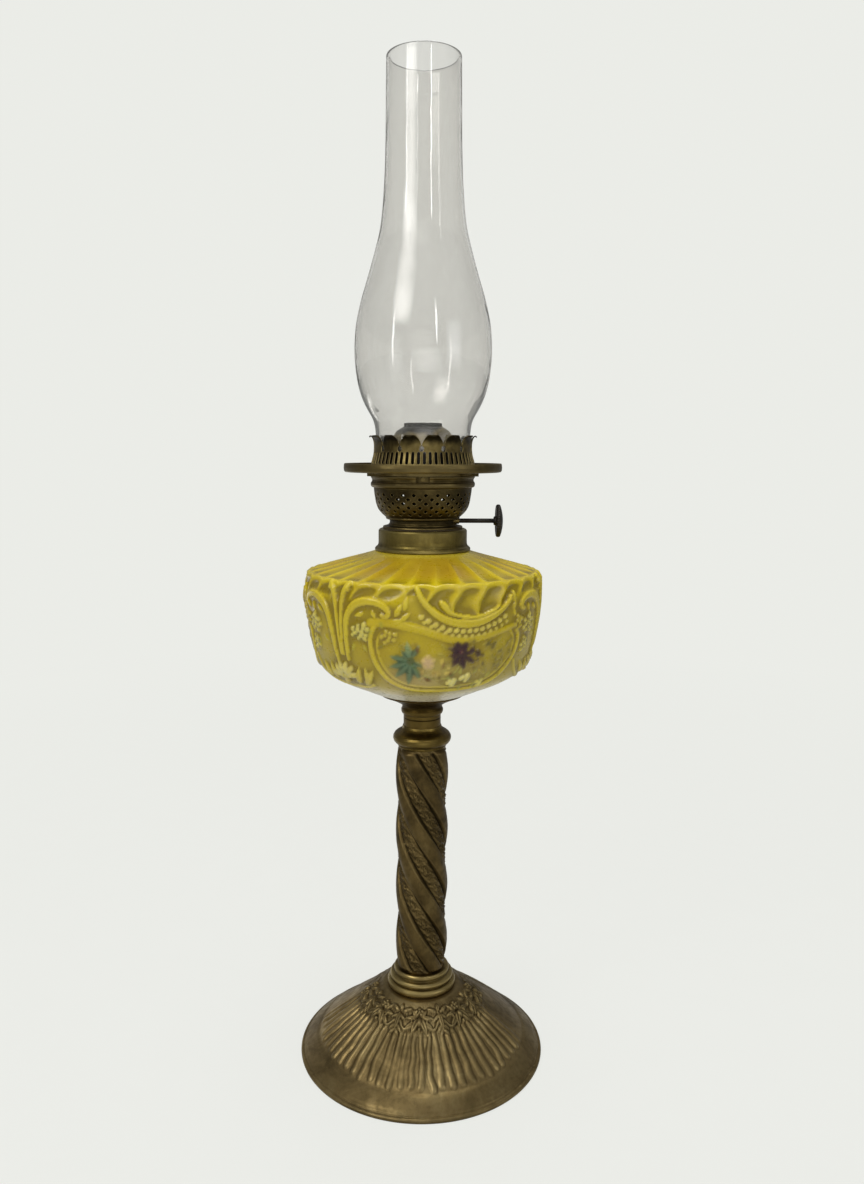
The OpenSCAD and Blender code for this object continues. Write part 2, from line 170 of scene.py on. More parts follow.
class Relief:
    """A height map in millimetres over an unrolled turned surface: columns are phi in degrees, rows are distance along the profile."""

    def __init__(self, prof, nseg):
        self.P = np.asarray(prof, float)
        self.T = np.concatenate([[0], np.cumsum(np.hypot(*np.diff(self.P, axis=0).T))])
        self.n = nseg
        self.phi = -180.0 + 360.0 * np.arange(nseg) / nseg
        self.H = np.zeros((len(self.P), nseg))
        self.C = np.zeros((len(self.P), nseg, 3))
        self.mark = np.zeros((len(self.P), nseg))

    def window(self, ph, t, rad):
        rows = np.where(np.abs(self.T - t) <= rad)[0]
        if not len(rows):
            return None
        r = self.P[rows, 0]
        rmin = max(r.min(), 3.0)
        d = (self.phi - ph + 180.0) % 360.0 - 180.0
        cols = np.where(np.abs(d) * math.pi / 180 * rmin <= rad)[0]
        if not len(cols):
            return None
        dx = d[cols][None] * math.pi / 180 * r[:, None]
        dy = (self.T[rows] - t)[:, None] + 0 * dx
        return np.ix_(rows, cols), dx, dy

    def bump(self, ix, h, mode):
        if mode == "max":
            self.H[ix] = np.maximum(self.H[ix], h)
        elif mode == "add":
            self.H[ix] += h
        elif mode == "cut":
            self.H[ix] -= h

    def ellipse(self, ph, t, a, b, rot, h, p=0.5, mode="max", colour=None, amount=1.0, soft=0.25):
        w = self.window(ph, t, max(a, b) * 1.15)
        if w is None:
            return
        ix, dx, dy = w
        c, s = math.cos(math.radians(rot)), math.sin(math.radians(rot))
        u, v = (dx * c + dy * s) / a, (-dx * s + dy * c) / b
        q = np.maximum(0, 1 - u * u - v * v)
        if h:
            self.bump(ix, np.where(q > 0, h * q ** p, -9.0 if mode == "max" else 0.0), mode)
        if colour is not None:
            m = (np.clip(q / soft, 0, 1) * amount)[..., None]
            self.C[ix] = self.C[ix] * (1 - m) + np.asarray(colour) * m

    def leaf(self, ph, t, rot, length, width, h, vein=0.3, mode="max", colour=None, amount=1.0, colour2=None, p=0.5):
        """A pointed leaf from its stalk at (ph, t), growing at rot degrees from +phi towards +t."""
        c, s = math.cos(math.radians(rot)), math.sin(math.radians(rot))
        w = self.window(ph, t, length * 1.05)
        if w is None:
            return
        ix, dx, dy = w
        u, v = (dx * c + dy * s) / length, (-dx * s + dy * c)
        uu = np.clip(u, 0, 1)
        hw = width * 0.5 * np.sin(math.pi * uu ** 0.75) ** 0.8 + 1e-6
        q = np.where((u > 0) & (u < 1), np.maximum(0, 1 - (v / hw) ** 2), 0)
        if h:
            g = h * q ** p * (0.75 + 0.25 * np.sin(math.pi * uu)) - h * vein * np.exp(-(v / (0.16 * width)) ** 2) * (q > 0)
            self.bump(ix, np.where(q > 0, g, -9.0 if mode == "max" else 0.0), mode)
        if colour is not None:
            col = np.asarray(colour) * np.ones(q.shape + (3,))
            if colour2 is not None:
                k = np.clip(np.exp(-(v / (0.22 * width)) ** 2), 0, 1)[..., None]
                col = col * (1 - k) + np.asarray(colour2) * k
            m = (np.clip(q / 0.3, 0, 1) * amount)[..., None]
            self.C[ix] = self.C[ix] * (1 - m) + col * m

    def stroke(self, pts, w0, w1, h, p=0.5, mode="max", smooth=6, colour=None, amount=1.0, groove=0.0, mid=None):
        """A rounded rib along a curve through (phi, t) points, w0 wide at its start and w1 at its end, in millimetres."""
        q = catmull(pts, smooth) if smooth else np.asarray(pts, float)
        wmax = max(w0, w1, mid or 0)
        t0, t1 = q[:, 1].min() - wmax, q[:, 1].max() + wmax
        rows = np.where((self.T >= t0) & (self.T <= t1))[0]
        if not len(rows):
            return
        r = self.P[rows, 0]
        pc = 0.5 * (q[:, 0].min() + q[:, 0].max())
        half = 0.5 * (q[:, 0].max() - q[:, 0].min()) + wmax / max(r.min(), 3) * 57.3
        d = (self.phi - pc + 180.0) % 360.0 - 180.0
        cols = np.where(np.abs(d) <= half)[0]
        if not len(cols):
            return
        X = (d[cols] + pc)[None] + 0 * r[:, None]
        Y = self.T[rows][:, None] + 0 * X
        sc = (math.pi / 180 * r)[:, None]
        best = np.full(X.shape, 1e9)
        along = np.zeros(X.shape)
        m = len(q) - 1
        for k in range(m):
            ax, ay = q[k]
            bx, by = q[k + 1]
            ex, ey = (bx - ax) * sc, (by - ay)
            px, py = (X - ax) * sc, (Y - ay)
            tt = np.clip((px * ex + py * ey) / np.maximum(ex * ex + ey * ey, 1e-9), 0, 1)
            dd = np.hypot(px - tt * ex, py - tt * ey)
            near = dd < best
            best = np.where(near, dd, best)
            along = np.where(near, (k + tt) / m, along)
        if mid is None:
            w = w0 + (w1 - w0) * along
        else:
            w = np.where(along < 0.5, w0 + (mid - w0) * along * 2, mid + (w1 - mid) * (along * 2 - 1))
        w = np.maximum(w, 1e-3)
        qq = np.maximum(0, 1 - (best / w) ** 2)
        ix = np.ix_(rows, cols)
        g = h * qq ** p - groove * np.exp(-(best / (0.35 * w)) ** 2) * (qq > 0)
        self.bump(ix, np.where(qq > 0, g, -9.0 if mode == "max" else 0.0), mode)
        if colour is not None:
            mm = (np.clip(qq / 0.4, 0, 1) * amount)[..., None]
            self.C[ix] = self.C[ix] * (1 - mm) + np.asarray(colour) * mm

    def blurred(self, k, src=None):
        h = (self.H if src is None else src).copy()
        w = np.exp(-0.5 * (np.arange(-3 * k, 3 * k + 1) / k) ** 2)
        w /= w.sum()
        out = np.zeros_like(h)
        for a, b in zip(range(-3 * k, 3 * k + 1), w):
            out += b * np.roll(h, a, 1)
        h = out
        out = np.zeros_like(h)
        idx = np.arange(len(h))
        for a, b in zip(range(-3 * k, 3 * k + 1), w):
            out += b * h[np.clip(idx + a, 0, len(h) - 1)]
        return out


# ------------------------------------------------------------------ materials
class Nodes:
    def __init__(self, name):
        self.m = bpy.data.materials.new(name)
        self.m.use_nodes = True
        self.t = self.m.node_tree
        self.t.nodes.clear()
        self.out = self.t.nodes.new("ShaderNodeOutputMaterial")
        self.b = self.t.nodes.new("ShaderNodeBsdfPrincipled")
        self.t.links.new(self.b.outputs[0], self.out.inputs[0])

    def n(self, kind, **kw):
        x = self.t.nodes.new(kind)
        for k, v in kw.items():
            setattr(x, k, v)
        return x

    def l(self, a, b):
        self.t.links.new(a, b)

    def coord(self):
        return self.n("ShaderNodeTexCoord").outputs["Object"]

    def noise(self, scale, detail=4.0, rough=0.55, vec=None, dist=0.0):
        x = self.n("ShaderNodeTexNoise")
        x.inputs["Scale"].default_value = scale
        x.inputs["Detail"].default_value = detail
        x.inputs["Roughness"].default_value = rough
        x.inputs["Distortion"].default_value = dist
        self.l(vec if vec is not None else self.coord(), x.inputs["Vector"])
        return x.outputs["Fac"]

    def stretch(self, s):
        x = self.n("ShaderNodeMapping")
        x.inputs["Scale"].default_value = s
        self.l(self.coord(), x.inputs["Vector"])
        return x.outputs[0]

    def ramp(self, fac, stops, interp="LINEAR"):
        x = self.n("ShaderNodeValToRGB")
        x.color_ramp.interpolation = interp
        e = x.color_ramp.elements
        while len(e) < len(stops):
            e.new(0.5)
        for el, (p, c) in zip(e, stops):
            el.position = p
            el.color = c if len(c) == 4 else (*c, 1)
        self.l(fac, x.inputs[0])
        return x.outputs[0]

    def maprange(self, fac, a, b, c, d):
        x = self.n("ShaderNodeMapRange")
        for k, v in zip((1, 2, 3, 4), (a, b, c, d)):
            x.inputs[k].default_value = v
        self.l(fac, x.inputs[0])
        return x.outputs[0]

    def mix(self, fac, a, b, blend="MIX"):
        x = self.n("ShaderNodeMix", data_type="RGBA", blend_type=blend)
        for s, v in ((x.inputs[0], fac), (x.inputs[6], a), (x.inputs[7], b)):
            if isinstance(v, (int, float)):
                s.default_value = v
            elif isinstance(v, tuple):
                s.default_value = v if len(v) == 4 else (*v, 1)
            else:
                self.l(v, s)
        return x.outputs[2]

    def math(self, op, a, b=0.0):
        x = self.n("ShaderNodeMath", operation=op)
        for s, v in ((x.inputs[0], a), (x.inputs[1], b)):
            if isinstance(v, (int, float)):
                s.default_value = v
            else:
                self.l(v, s)
        return x.outputs[0]

    def bump(self, height, strength, dist=0.001):
        x = self.n("ShaderNodeBump")
        x.inputs["Strength"].default_value = strength
        x.inputs["Distance"].default_value = dist
        self.l(height, x.inputs["Height"])
        self.l(x.outputs[0], self.b.inputs["Normal"])

    def set(self, **kw):
        for k, v in kw.items():
            s = self.b.inputs[k.replace("_", " ")]
            if isinstance(v, (int, float)):
                s.default_value = v
            elif isinstance(v, tuple):
                s.default_value = v if len(v) == 4 else (*v, 1)
            else:
                self.l(v, s)


def brass(name, mid, dark, light, rough=(0.28, 0.5), wear=0.55, grime=0.5, green=0.0, fine=900.0, metal=1.0, spots=0.5):
    """Aged brass: a brown patina in clouds, darker in the hollows and rubbed bright on raised edges, with fine pits and rubbing marks."""
    k = Nodes(name)
    geo = k.n("ShaderNodeNewGeometry")
    cloud = k.noise(42.0, 5.0, 0.6, dist=0.6)
    small = k.noise(260.0, 4.0, 0.6)
    specks = k.noise(fine, 3.0, 0.7)
    base = k.ramp(cloud, [(0.30, lin4(dark)), (0.52, lin4(mid)), (0.75, lin4([a * 0.55 + b * 0.45 for a, b in zip(mid, light)]))])
    base = k.mix(k.maprange(small, 0.42, 0.72, 0.0, spots), base, lin4([c * 0.62 for c in mid]))
    edge = k.maprange(geo.outputs["Pointiness"], 0.505, 0.56, 0.0, wear)
    edge = k.math("MULTIPLY", edge, k.maprange(small, 0.3, 0.7, 0.5, 1.0))
    base = k.mix(edge, base, lin4(light))
    hollow = k.maprange(geo.outputs["Pointiness"], 0.495, 0.44, 0.0, grime)
    base = k.mix(hollow, base, lin4([c * 0.38 for c in dark]))
    if green:
        base = k.mix(k.maprange(k.noise(75.0, 5.0, 0.65), 0.56, 0.72, 0.0, green), base, lin4((72, 78, 48)))
    r = k.maprange(small, 0.3, 0.75, rough[0], rough[1])
    r = k.math("ADD", r, k.math("MULTIPLY", hollow, 0.25))
    r = k.math("ADD", r, k.maprange(cloud, 0.35, 0.7, 0.06, -0.05))
    k.set(Base_Color=base, Metallic=metal, Roughness=r)
    h = k.math("ADD", k.math("MULTIPLY", specks, 0.5), small)
    k.bump(h, 0.22, 0.00035)
    return k.m


def steel_mat(name, c, rough=(0.35, 0.6), rust=0.0):
    k = Nodes(name)
    a = k.noise(120.0, 5.0, 0.6)
    s = k.noise(700.0, 3.0, 0.6, vec=k.stretch((1.0, 1.0, 0.15)))
    base = k.ramp(a, [(0.3, lin4([v * 0.6 for v in c])), (0.7, lin4(c))])
    if rust:
        base = k.mix(k.maprange(k.noise(85.0, 6.0, 0.7), 0.5, 0.7, 0.0, rust), base, lin4((92, 52, 30)))
    k.set(Base_Color=base, Metallic=0.9, Roughness=k.maprange(s, 0.3, 0.7, rough[0], rough[1]))
    k.bump(s, 0.2, 0.0003)
    return k.m


M = {}
M["aged_brass"] = brass("aged_brass", (125, 107, 70), (85, 72, 45), (178, 160, 113), rough=(0.34, 0.52), wear=0.55, grime=0.7, green=0.10)
M["column_brass"] = brass("column_brass", (98, 82, 49), (60, 49, 29), (146, 127, 84), rough=(0.34, 0.54), wear=0.5, grime=0.8)
M["burner_brass"] = brass("burner_brass", (84, 72, 42), (44, 36, 20), (138, 121, 76), rough=(0.32, 0.54), wear=0.6, grime=0.8, green=0.1)
M["worn_brass"] = brass("worn_brass", (135, 117, 70), (92, 76, 42), (188, 168, 114), rough=(0.26, 0.44), wear=0.6, grime=0.65)
M["ring_brass"] = brass("ring_brass", (92, 79, 46), (58, 48, 26), (136, 121, 80), rough=(0.30, 0.48), wear=0.6, grime=0.7)
M["collar_brass"] = brass("collar_brass", (118, 104, 54), (80, 68, 33), (164, 149, 92), rough=(0.30, 0.46), wear=0.5, grime=0.65)
M["knop_brass"] = brass("knop_brass", (110, 92, 46), (72, 57, 24), (158, 139, 80), rough=(0.26, 0.44), wear=0.55, grime=0.7)
M["neck_brass"] = brass("neck_brass", (84, 67, 30), (52, 40, 15), (128, 108, 58), rough=(0.3, 0.5), wear=0.5, grime=0.75)
M["dome_brass"] = brass("dome_brass", (104, 92, 62), (60, 51, 33), (146, 132, 96), rough=(0.36, 0.55), wear=0.4, grime=0.7)


def soot_and_shade(name, z0, z1, c=(30, 26, 20), amount=0.85, lean=0.0, x0=0.0):
    """Darkens a brass above a height with a ragged edge: soot towards the flame, and on the crown also painted shade
    under the curled tips.
    """
    m = M[name]
    t = m.node_tree
    b = [n for n in t.nodes if n.type == "BSDF_PRINCIPLED"][0]
    old = b.inputs["Base Color"].links[0].from_socket
    tc = t.nodes.new("ShaderNodeTexCoord")
    se = t.nodes.new("ShaderNodeSeparateXYZ")
    t.links.new(tc.outputs["Object"], se.inputs[0])
    no = t.nodes.new("ShaderNodeTexNoise")
    no.inputs["Scale"].default_value = 170.0
    no.inputs["Detail"].default_value = 4.0
    t.links.new(tc.outputs["Object"], no.inputs["Vector"])
    ad = t.nodes.new("ShaderNodeMath")
    ad.operation = "MULTIPLY_ADD"
    ad.inputs[1].default_value = 0.006
    t.links.new(no.outputs["Fac"], ad.inputs[0])
    t.links.new(se.outputs[2], ad.inputs[2])
    mr = t.nodes.new("ShaderNodeMapRange")
    for k, v in zip((1, 2, 3, 4), (z0 + 0.003, z1 + 0.003, 0.0, amount)):
        mr.inputs[k].default_value = v
    height = ad.outputs[0]
    if lean:
        # the soot sits lower on one side of the dome
        off = t.nodes.new("ShaderNodeMath")
        off.operation = "SUBTRACT"
        off.inputs[1].default_value = x0
        t.links.new(se.outputs[0], off.inputs[0])
        pos = t.nodes.new("ShaderNodeMath")
        pos.operation = "MAXIMUM"
        pos.inputs[1].default_value = 0.0
        t.links.new(off.outputs[0], pos.inputs[0])
        sh = t.nodes.new("ShaderNodeMath")
        sh.operation = "MULTIPLY_ADD"
        sh.inputs[1].default_value = -lean
        t.links.new(pos.outputs[0], sh.inputs[0])
        t.links.new(height, sh.inputs[2])
        height = sh.outputs[0]
    t.links.new(height, mr.inputs[0])
    mx = t.nodes.new("ShaderNodeMix")
    mx.data_type = "RGBA"
    t.links.new(mr.outputs[0], mx.inputs[0])
    t.links.new(old, mx.inputs[6])
    mx.inputs[7].default_value = lin4(c)
    t.links.new(mx.outputs[2], b.inputs["Base Color"])


M["crown_brass"] = brass("crown_brass", (112, 98, 58), (50, 41, 22), (176, 158, 106), rough=(0.32, 0.54), wear=0.6, grime=0.8, green=0.1)
# soot and painted shade: the crown is darkened above its middle, for soot from the flame and the shade under the curled
# tips
soot_and_shade("crown_brass", 0.4316, 0.4356, (24, 20, 14), amount=0.88)
soot_and_shade("dome_brass", 0.4386, 0.4412, (14, 12, 9), 0.98, 0.75, 0.006)
M["foot_brass"] = brass("foot_brass", (125, 107, 70), (88, 75, 47), (178, 160, 113), rough=(0.36, 0.54), wear=0.55, grime=0.7, green=0.08, spots=0.35)
# painted light: the foot's colour is multiplied by its tint attribute, which carries painted light and shade by side
ft = M["foot_brass"].node_tree
fb = [n for n in ft.nodes if n.type == "BSDF_PRINCIPLED"][0]
fa = ft.nodes.new("ShaderNodeAttribute")
fa.attribute_name, fa.attribute_type = "tint", "GEOMETRY"
fm = ft.nodes.new("ShaderNodeMix")
fm.data_type, fm.blend_type = "RGBA", "MULTIPLY"
fm.inputs[0].default_value = 1.0
ft.links.new(fb.inputs["Base Color"].links[0].from_socket, fm.inputs[6])
ft.links.new(fa.outputs["Color"], fm.inputs[7])
ft.links.new(fm.outputs[2], fb.inputs["Base Color"])
M["steel"] = steel_mat("steel", (120, 116, 110), rust=0.35)
M["dark_steel"] = steel_mat("dark_steel", (58, 56, 52), rough=(0.42, 0.62), rust=0.12)
M["sooty_brass"] = brass("sooty_brass", (40, 33, 20), (24, 20, 12), (70, 60, 36), rough=(0.5, 0.68), wear=0.3, grime=0.8)
M["iron"] = steel_mat("iron", (70, 66, 62), rough=(0.6, 0.85), rust=0.6)


def simple(name, c1, c2, scale, rough=(0.6, 0.8), bump=0.3, dist=0.0005, detail=5.0, stretch=None, **kw):
    k = Nodes(name)
    v = k.stretch(stretch) if stretch else None
    a = k.noise(scale, detail, 0.6, vec=v)
    k.set(Base_Color=k.ramp(a, [(0.3, lin4(c1)), (0.7, lin4(c2))]), Roughness=k.maprange(a, 0.3, 0.7, rough[0], rough[1]), **kw)
    k.bump(k.noise(scale * 6, 4.0, 0.6, vec=v), bump, dist)
    return k.m


M["baize"] = simple("baize", (34, 52, 38), (52, 76, 56), 900.0, rough=(0.85, 0.98), bump=0.8, dist=0.0008, Sheen_Weight=0.4)
M["plaster"] = simple("plaster", (188, 180, 160), (216, 210, 194), 160.0, rough=(0.8, 0.95), bump=0.5)
M["cork"] = simple("cork", (50, 41, 24), (76, 62, 36), 500.0, rough=(0.8, 0.95), bump=0.7)
M["black_metal"] = simple("black_metal", (30, 28, 25), (56, 52, 46), 210.0, rough=(0.32, 0.52), bump=0.35, dist=0.0003, Metallic=0.7)

# woven cotton with a charred upper edge
k = Nodes("cotton")
geo = k.n("ShaderNodeSeparateXYZ")
k.l(k.coord(), geo.inputs[0])
weave = k.n("ShaderNodeTexWave", wave_type="BANDS", bands_direction="DIAGONAL")
weave.inputs["Scale"].default_value = 420.0
weave.inputs["Distortion"].default_value = 1.2
k.l(k.coord(), weave.inputs["Vector"])
cot = k.ramp(weave.outputs["Fac"], [(0.2, lin4((170, 160, 132))), (0.8, lin4((216, 208, 186)))])
jag = k.math("ADD", geo.outputs[2], k.math("MULTIPLY", k.noise(420.0, 4.0, 0.6), 0.004))
cot = k.mix(k.maprange(jag, 0.440, 0.4475, 0.0, 1.0), cot, lin4((22, 18, 15)))
k.set(Base_Color=cot, Roughness=0.92)
k.bump(weave.outputs["Fac"], 0.5, 0.0003)
M["cotton"] = k.m

# glazed earthenware: the vertex tint carries the glaze's pooling, painted shade along the raised lines, a painted light
# bottom and the painted sprays
k = Nodes("majolica")
att = k.n("ShaderNodeAttribute", attribute_name="tint", attribute_type="GEOMETRY")
cloud = k.noise(38.0, 5.0, 0.6, dist=0.8)
small = k.noise(230.0, 4.0, 0.6)
base = k.mix(k.maprange(cloud, 0.40, 0.72, 0.0, 0.26), att.outputs["Color"], lin4((206, 172, 84)), "MULTIPLY")
base = k.mix(k.maprange(small, 0.5, 0.75, 0.0, 0.10), base, lin4((150, 118, 30)))
geo = k.n("ShaderNodeNewGeometry")
base = k.mix(k.maprange(geo.outputs["Pointiness"], 0.51, 0.58, 0.0, 0.20), base, lin4((214, 196, 74)))
base = k.mix(k.maprange(geo.outputs["Pointiness"], 0.49, 0.43, 0.0, 0.35), base, lin4((120, 98, 12)))
craze = k.n("ShaderNodeTexVoronoi", feature="DISTANCE_TO_EDGE")
craze.inputs["Scale"].default_value = 260.0
k.l(k.coord(), craze.inputs["Vector"])
base = k.mix(k.maprange(craze.outputs["Distance"], 0.0, 0.035, 0.14, 0.0), base, lin4((96, 70, 20)))
k.set(Base_Color=base, Roughness=k.maprange(small, 0.3, 0.75, 0.24, 0.38), Coat_Weight=0.22, IOR=1.42)
k.b.inputs["Coat Roughness"].default_value = 0.12
k.bump(k.math("ADD", small, k.math("MULTIPLY", cloud, 2.0)), 0.25, 0.0006)
M["majolica"] = k.m

# blown glass, a little smoky, with a faint patchy haze
k = Nodes("lamp_glass")
t = k.t
small = k.noise(60.0, 4.0, 0.6, vec=k.stretch((1.0, 1.0, 0.35)))
lw = k.n("ShaderNodeLayerWeight")
lw.inputs["Blend"].default_value = 0.5
gcol = k.ramp(lw.outputs["Facing"], [(0.30, (0.845, 0.835, 0.82, 1)), (0.70, (0.768, 0.755, 0.738, 1)), (0.93, (0.64, 0.628, 0.608, 1))])
k.set(Base_Color=gcol, Transmission_Weight=1.0, Roughness=k.maprange(small, 0.35, 0.8, 0.0, 0.035), IOR=1.48)
k.b.inputs["Specular IOR Level"].default_value = 0.20
k.bump(k.noise(26.0, 3.0, 0.55, vec=k.stretch((1.0, 1.0, 0.5))), 0.34, 0.0018)
haze = k.n("ShaderNodeBsdfDiffuse")
haze.inputs["Color"].default_value = (0.62, 0.62, 0.58, 1)
mx1 = k.n("ShaderNodeMixShader")
k.l(k.maprange(k.noise(26.0, 5.0, 0.65, vec=k.stretch((1.0, 1.0, 0.5))), 0.42, 0.80, 0.015, 0.10), mx1.inputs[0])
k.l(k.b.outputs[0], mx1.inputs[1])
k.l(haze.outputs[0], mx1.inputs[2])
# mostly painted shade: the foot of the glass down inside the crown is made near black so the crown's slots look dark,
# with a little residue
residue_and_shade = k.n("ShaderNodeBsdfDiffuse")
residue_and_shade.inputs["Color"].default_value = (0.012, 0.009, 0.005, 1)
sz_ = k.n("ShaderNodeSeparateXYZ")
k.l(k.coord(), sz_.inputs[0])
rag = k.math("ADD", sz_.outputs[2], k.math("MULTIPLY", k.noise(210.0, 4.0, 0.6), 0.004))
mx0 = k.n("ShaderNodeMixShader")
k.l(k.maprange(rag, 0.4285, 0.4315, 0.86, 0.0), mx0.inputs[0])
k.l(mx1.outputs[0], mx0.inputs[1])
k.l(residue_and_shade.outputs[0], mx0.inputs[2])
lp = k.n("ShaderNodeLightPath")
tr = k.n("ShaderNodeBsdfTransparent")
tr.inputs["Color"].default_value = (0.88, 0.89, 0.87, 1)
mx = k.n("ShaderNodeMixShader")
k.l(lp.outputs["Is Shadow Ray"], mx.inputs[0])
k.l(mx0.outputs[0], mx.inputs[1])
k.l(tr.outputs[0], mx.inputs[2])
k.l(mx.outputs[0], k.out.inputs[0])
M["lamp_glass"] = k.m


def put(ob, body, slot, replaces=(), mat=None):
    ob.data.materials.clear()
    ob.data.materials.append(M[mat or slot])
    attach(ob, body)
    if replaces:
        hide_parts(*replaces)
    return ob


# materials for the solids that stay as they are
LOOK = {"shade_ring": "ring_brass", "ring_rivets": "ring_brass", "burner_band": "ring_brass", "font_collar": "collar_brass", "capital_knop": "knop_brass", "neck_socket": "neck_brass", "font_cup": "neck_brass",
        "flame_dome": "dome_brass", "coronet": "crown_brass", "winder_spindle": "dark_steel", "wick_tube": "sooty_brass", "feed_bracket": "sooty_brass"}
for sp in frame["record"]["subparts"]:
    ob = frame["nodes"][sp["node"]]
    look_mat = M[LOOK.get(sp["node"], sp["material_slot"])]
    for ms in ob.material_slots:
        ms.material = look_mat
    if not ob.material_slots:
        ob.data.materials.append(look_mat)


# ------------------------------------------------------------------ foot
def build_foot():
    rim = catmull([(84.6, 0.0), (85.4, 0.0), (86.2, 0.15), (86.8, 0.8), (87.0, 1.7), (86.75, 2.6), (86.0, 3.25), (85.2, 3.45), (84.7, 3.75), (84.2, 4.5), (83.4, 5.2)], 3)
    slope = resample(catmull([(83.4, 5.2), (81.6, 6.7), (79.0, 8.8), (76.4, 10.7), (74.2, 12.1), (72.8, 13.0), (66, 18.8), (58, 25.1), (50, 31.1), (45.9, 34.2),
                              (45.2, 34.9), (38, 40.6), (31, 45.7), (27.6, 48.1), (26.2, 48.55)], 6), 0.72)
    top = np.array([(24.0, 48.6), (15.0, 48.6), (4.7, 48.6)])
    inner = np.array([(4.7, 47.1), (15, 47.1), (26, 47.1), (27.4, 46.0), (45.2, 32.8), (65.3, 17.0), (73, 10.6), (78.1, 6.9), (82.6, 3.3), (83.7, 1.6)])
    nseg = 62 * 12
    R = Relief(slope, nseg)
    P, T, phi = R.P, R.T, R.phi
    r = P[:, 0]
    t_of = lambda rr: float(np.interp(-rr, -r, T))
    # flutes: rounded ridges with rounded lower ends
    sp = 360.0 / 62
    kk = np.round(phi / sp)
    u = (phi - kk * sp)
    rnd = np.random.default_rng(3)
    wob = rnd.normal(0, 0.32, 63)[(kk.astype(int) % 62)]
    wob2 = rnd.normal(0, 0.20, 63)[(kk.astype(int) % 62)]
    wph = rnd.uniform(0, 6.28, 63)[(kk.astype(int) % 62)]
    amp = 1.0 + rnd.normal(0, 0.12, 63)[(kk.astype(int) % 62)]
    endr = 73.0 + rnd.normal(0, 0.5, 63)[(kk.astype(int) % 62)]
    dist = np.abs((u[None] + wob[None] * np.sin(T[:, None] * 0.16) + wob2[None] * np.sin(T[:, None] * 0.40 + wph[None])) * math.pi / 180 * r[:, None])
    half = 0.0370 * r[:, None] + 0.12
    # the lower end closes as a half round
    over = np.maximum(0, r[:, None] - (endr[None] - half)) / half
    dd = np.hypot(dist / half, over)
    fl = 1.35 * amp[None] * np.maximum(0, 1 - dd ** 2) ** 0.62
    # the flutes run out into plain metal at the sides, as they do in the photograph
    away = lambda c: np.abs((phi - c + 180.0) % 360.0 - 180.0)
    shown = sstep(18, 30, away(100.0)) * sstep(18, 30, away(-124.0))
    fl = fl * (0.10 + 0.90 * shown)[None]
    fl = fl * sstep(42.0, 46.5, r)[:, None]
    # worn patch at the front left where the ridges are rubbed low
    worn = np.exp(-(((phi[None] + 17) / 10.0) ** 2 + ((r[:, None] - 62) / 9.0) ** 2))
    fl = fl * (1 - 0.6 * worn)
    field = -0.35 * (sstep(44, 46, r) * (1 - sstep(72.5, 74.5, r)))[:, None]
    R.H += fl + field * (0.3 + 0.7 * shown)[None]
    # plain outer band with one shallow step
    R.H += (0.18 * sstep(74.3, 75.2, r) * (1 - sstep(82.2, 83.2, r)))[:, None]
    # band of leaf sprays
    band = Relief(slope, nseg)
    band.H[:] = -9
    rl = np.random.default_rng(11)
    base_t = lambda rr: t_of(rr)
    n_spray = 8
    for s in range(n_spray):
        c = -2 + s * 360.0 / n_spray
        j = lambda a: a * (1 + rl.normal(0, 0.06))
        # central bud and a V of two large leaves
        band.ellipse(c, base_t(38.5), 1.9, 3.0, 0, 2.1)
        band.ellipse(c, base_t(42.3), 1.2, 1.6, 0, 1.5)
        band.leaf(c - 1.5, base_t(36.5), -112, j(11), 4.6, 1.9, 0.35)
        band.leaf(c + 1.5, base_t(36.5), -68, j(11), 4.6, 1.9, 0.35)
        band.leaf(c - 4, base_t(38.5), -142, j(9.5), 4.0, 1.7, 0.35)
        band.leaf(c + 4, base_t(38.5), -38, j(9.5), 4.0, 1.7, 0.35)
        band.leaf(c - 3, base_t(36.0), -172, j(8.5), 3.4, 1.5, 0.35)
        band.leaf(c + 3, base_t(36.0), -8, j(8.5), 3.4, 1.5, 0.35)
        band.leaf(c - 2, base_t(36.0), 128, j(7.0), 3.2, 1.4, 0.35)
        band.leaf(c + 2, base_t(36.0), 52, j(7.0), 3.2, 1.4, 0.35)
        # five-petalled flower above the bud
        for a in range(5):
            band.ellipse(c + math.degrees(2.0 * math.sin(a * 1.2566) / 33), base_t(33.2) + 2.0 * math.cos(a * 1.2566), 1.35, 1.35, 0, 1.5)
        band.ellipse(c, base_t(33.2), 1.0, 1.0, 0, 2.0)
        # side spray between the V pairs
        m = c + 180.0 / n_spray
        band.leaf(m, base_t(34.0), -90, j(13), 3.4, 1.7, 0.3)
        for q, ln in ((0, 5.0), (1, 5.6), (2, 5.4), (3, 4.6)):
            tt = base_t(35.0 + 2.6 * q)
            band.leaf(m, tt, -38 - 6 * q, j(ln + 1.6), 2.5, 1.5, 0.3)
            band.leaf(m, tt, -142 + 6 * q, j(ln + 1.6), 2.5, 1.5, 0.3)
        band.leaf(m - 3, base_t(33.5), 150, j(6.5), 3.0, 1.3, 0.3)
        band.leaf(m + 3, base_t(33.5), 30, j(6.5), 3.0, 1.3, 0.3)
        band.leaf(m, base_t(33.0), 90, j(4.8), 3.2, 1.3, 0.3)
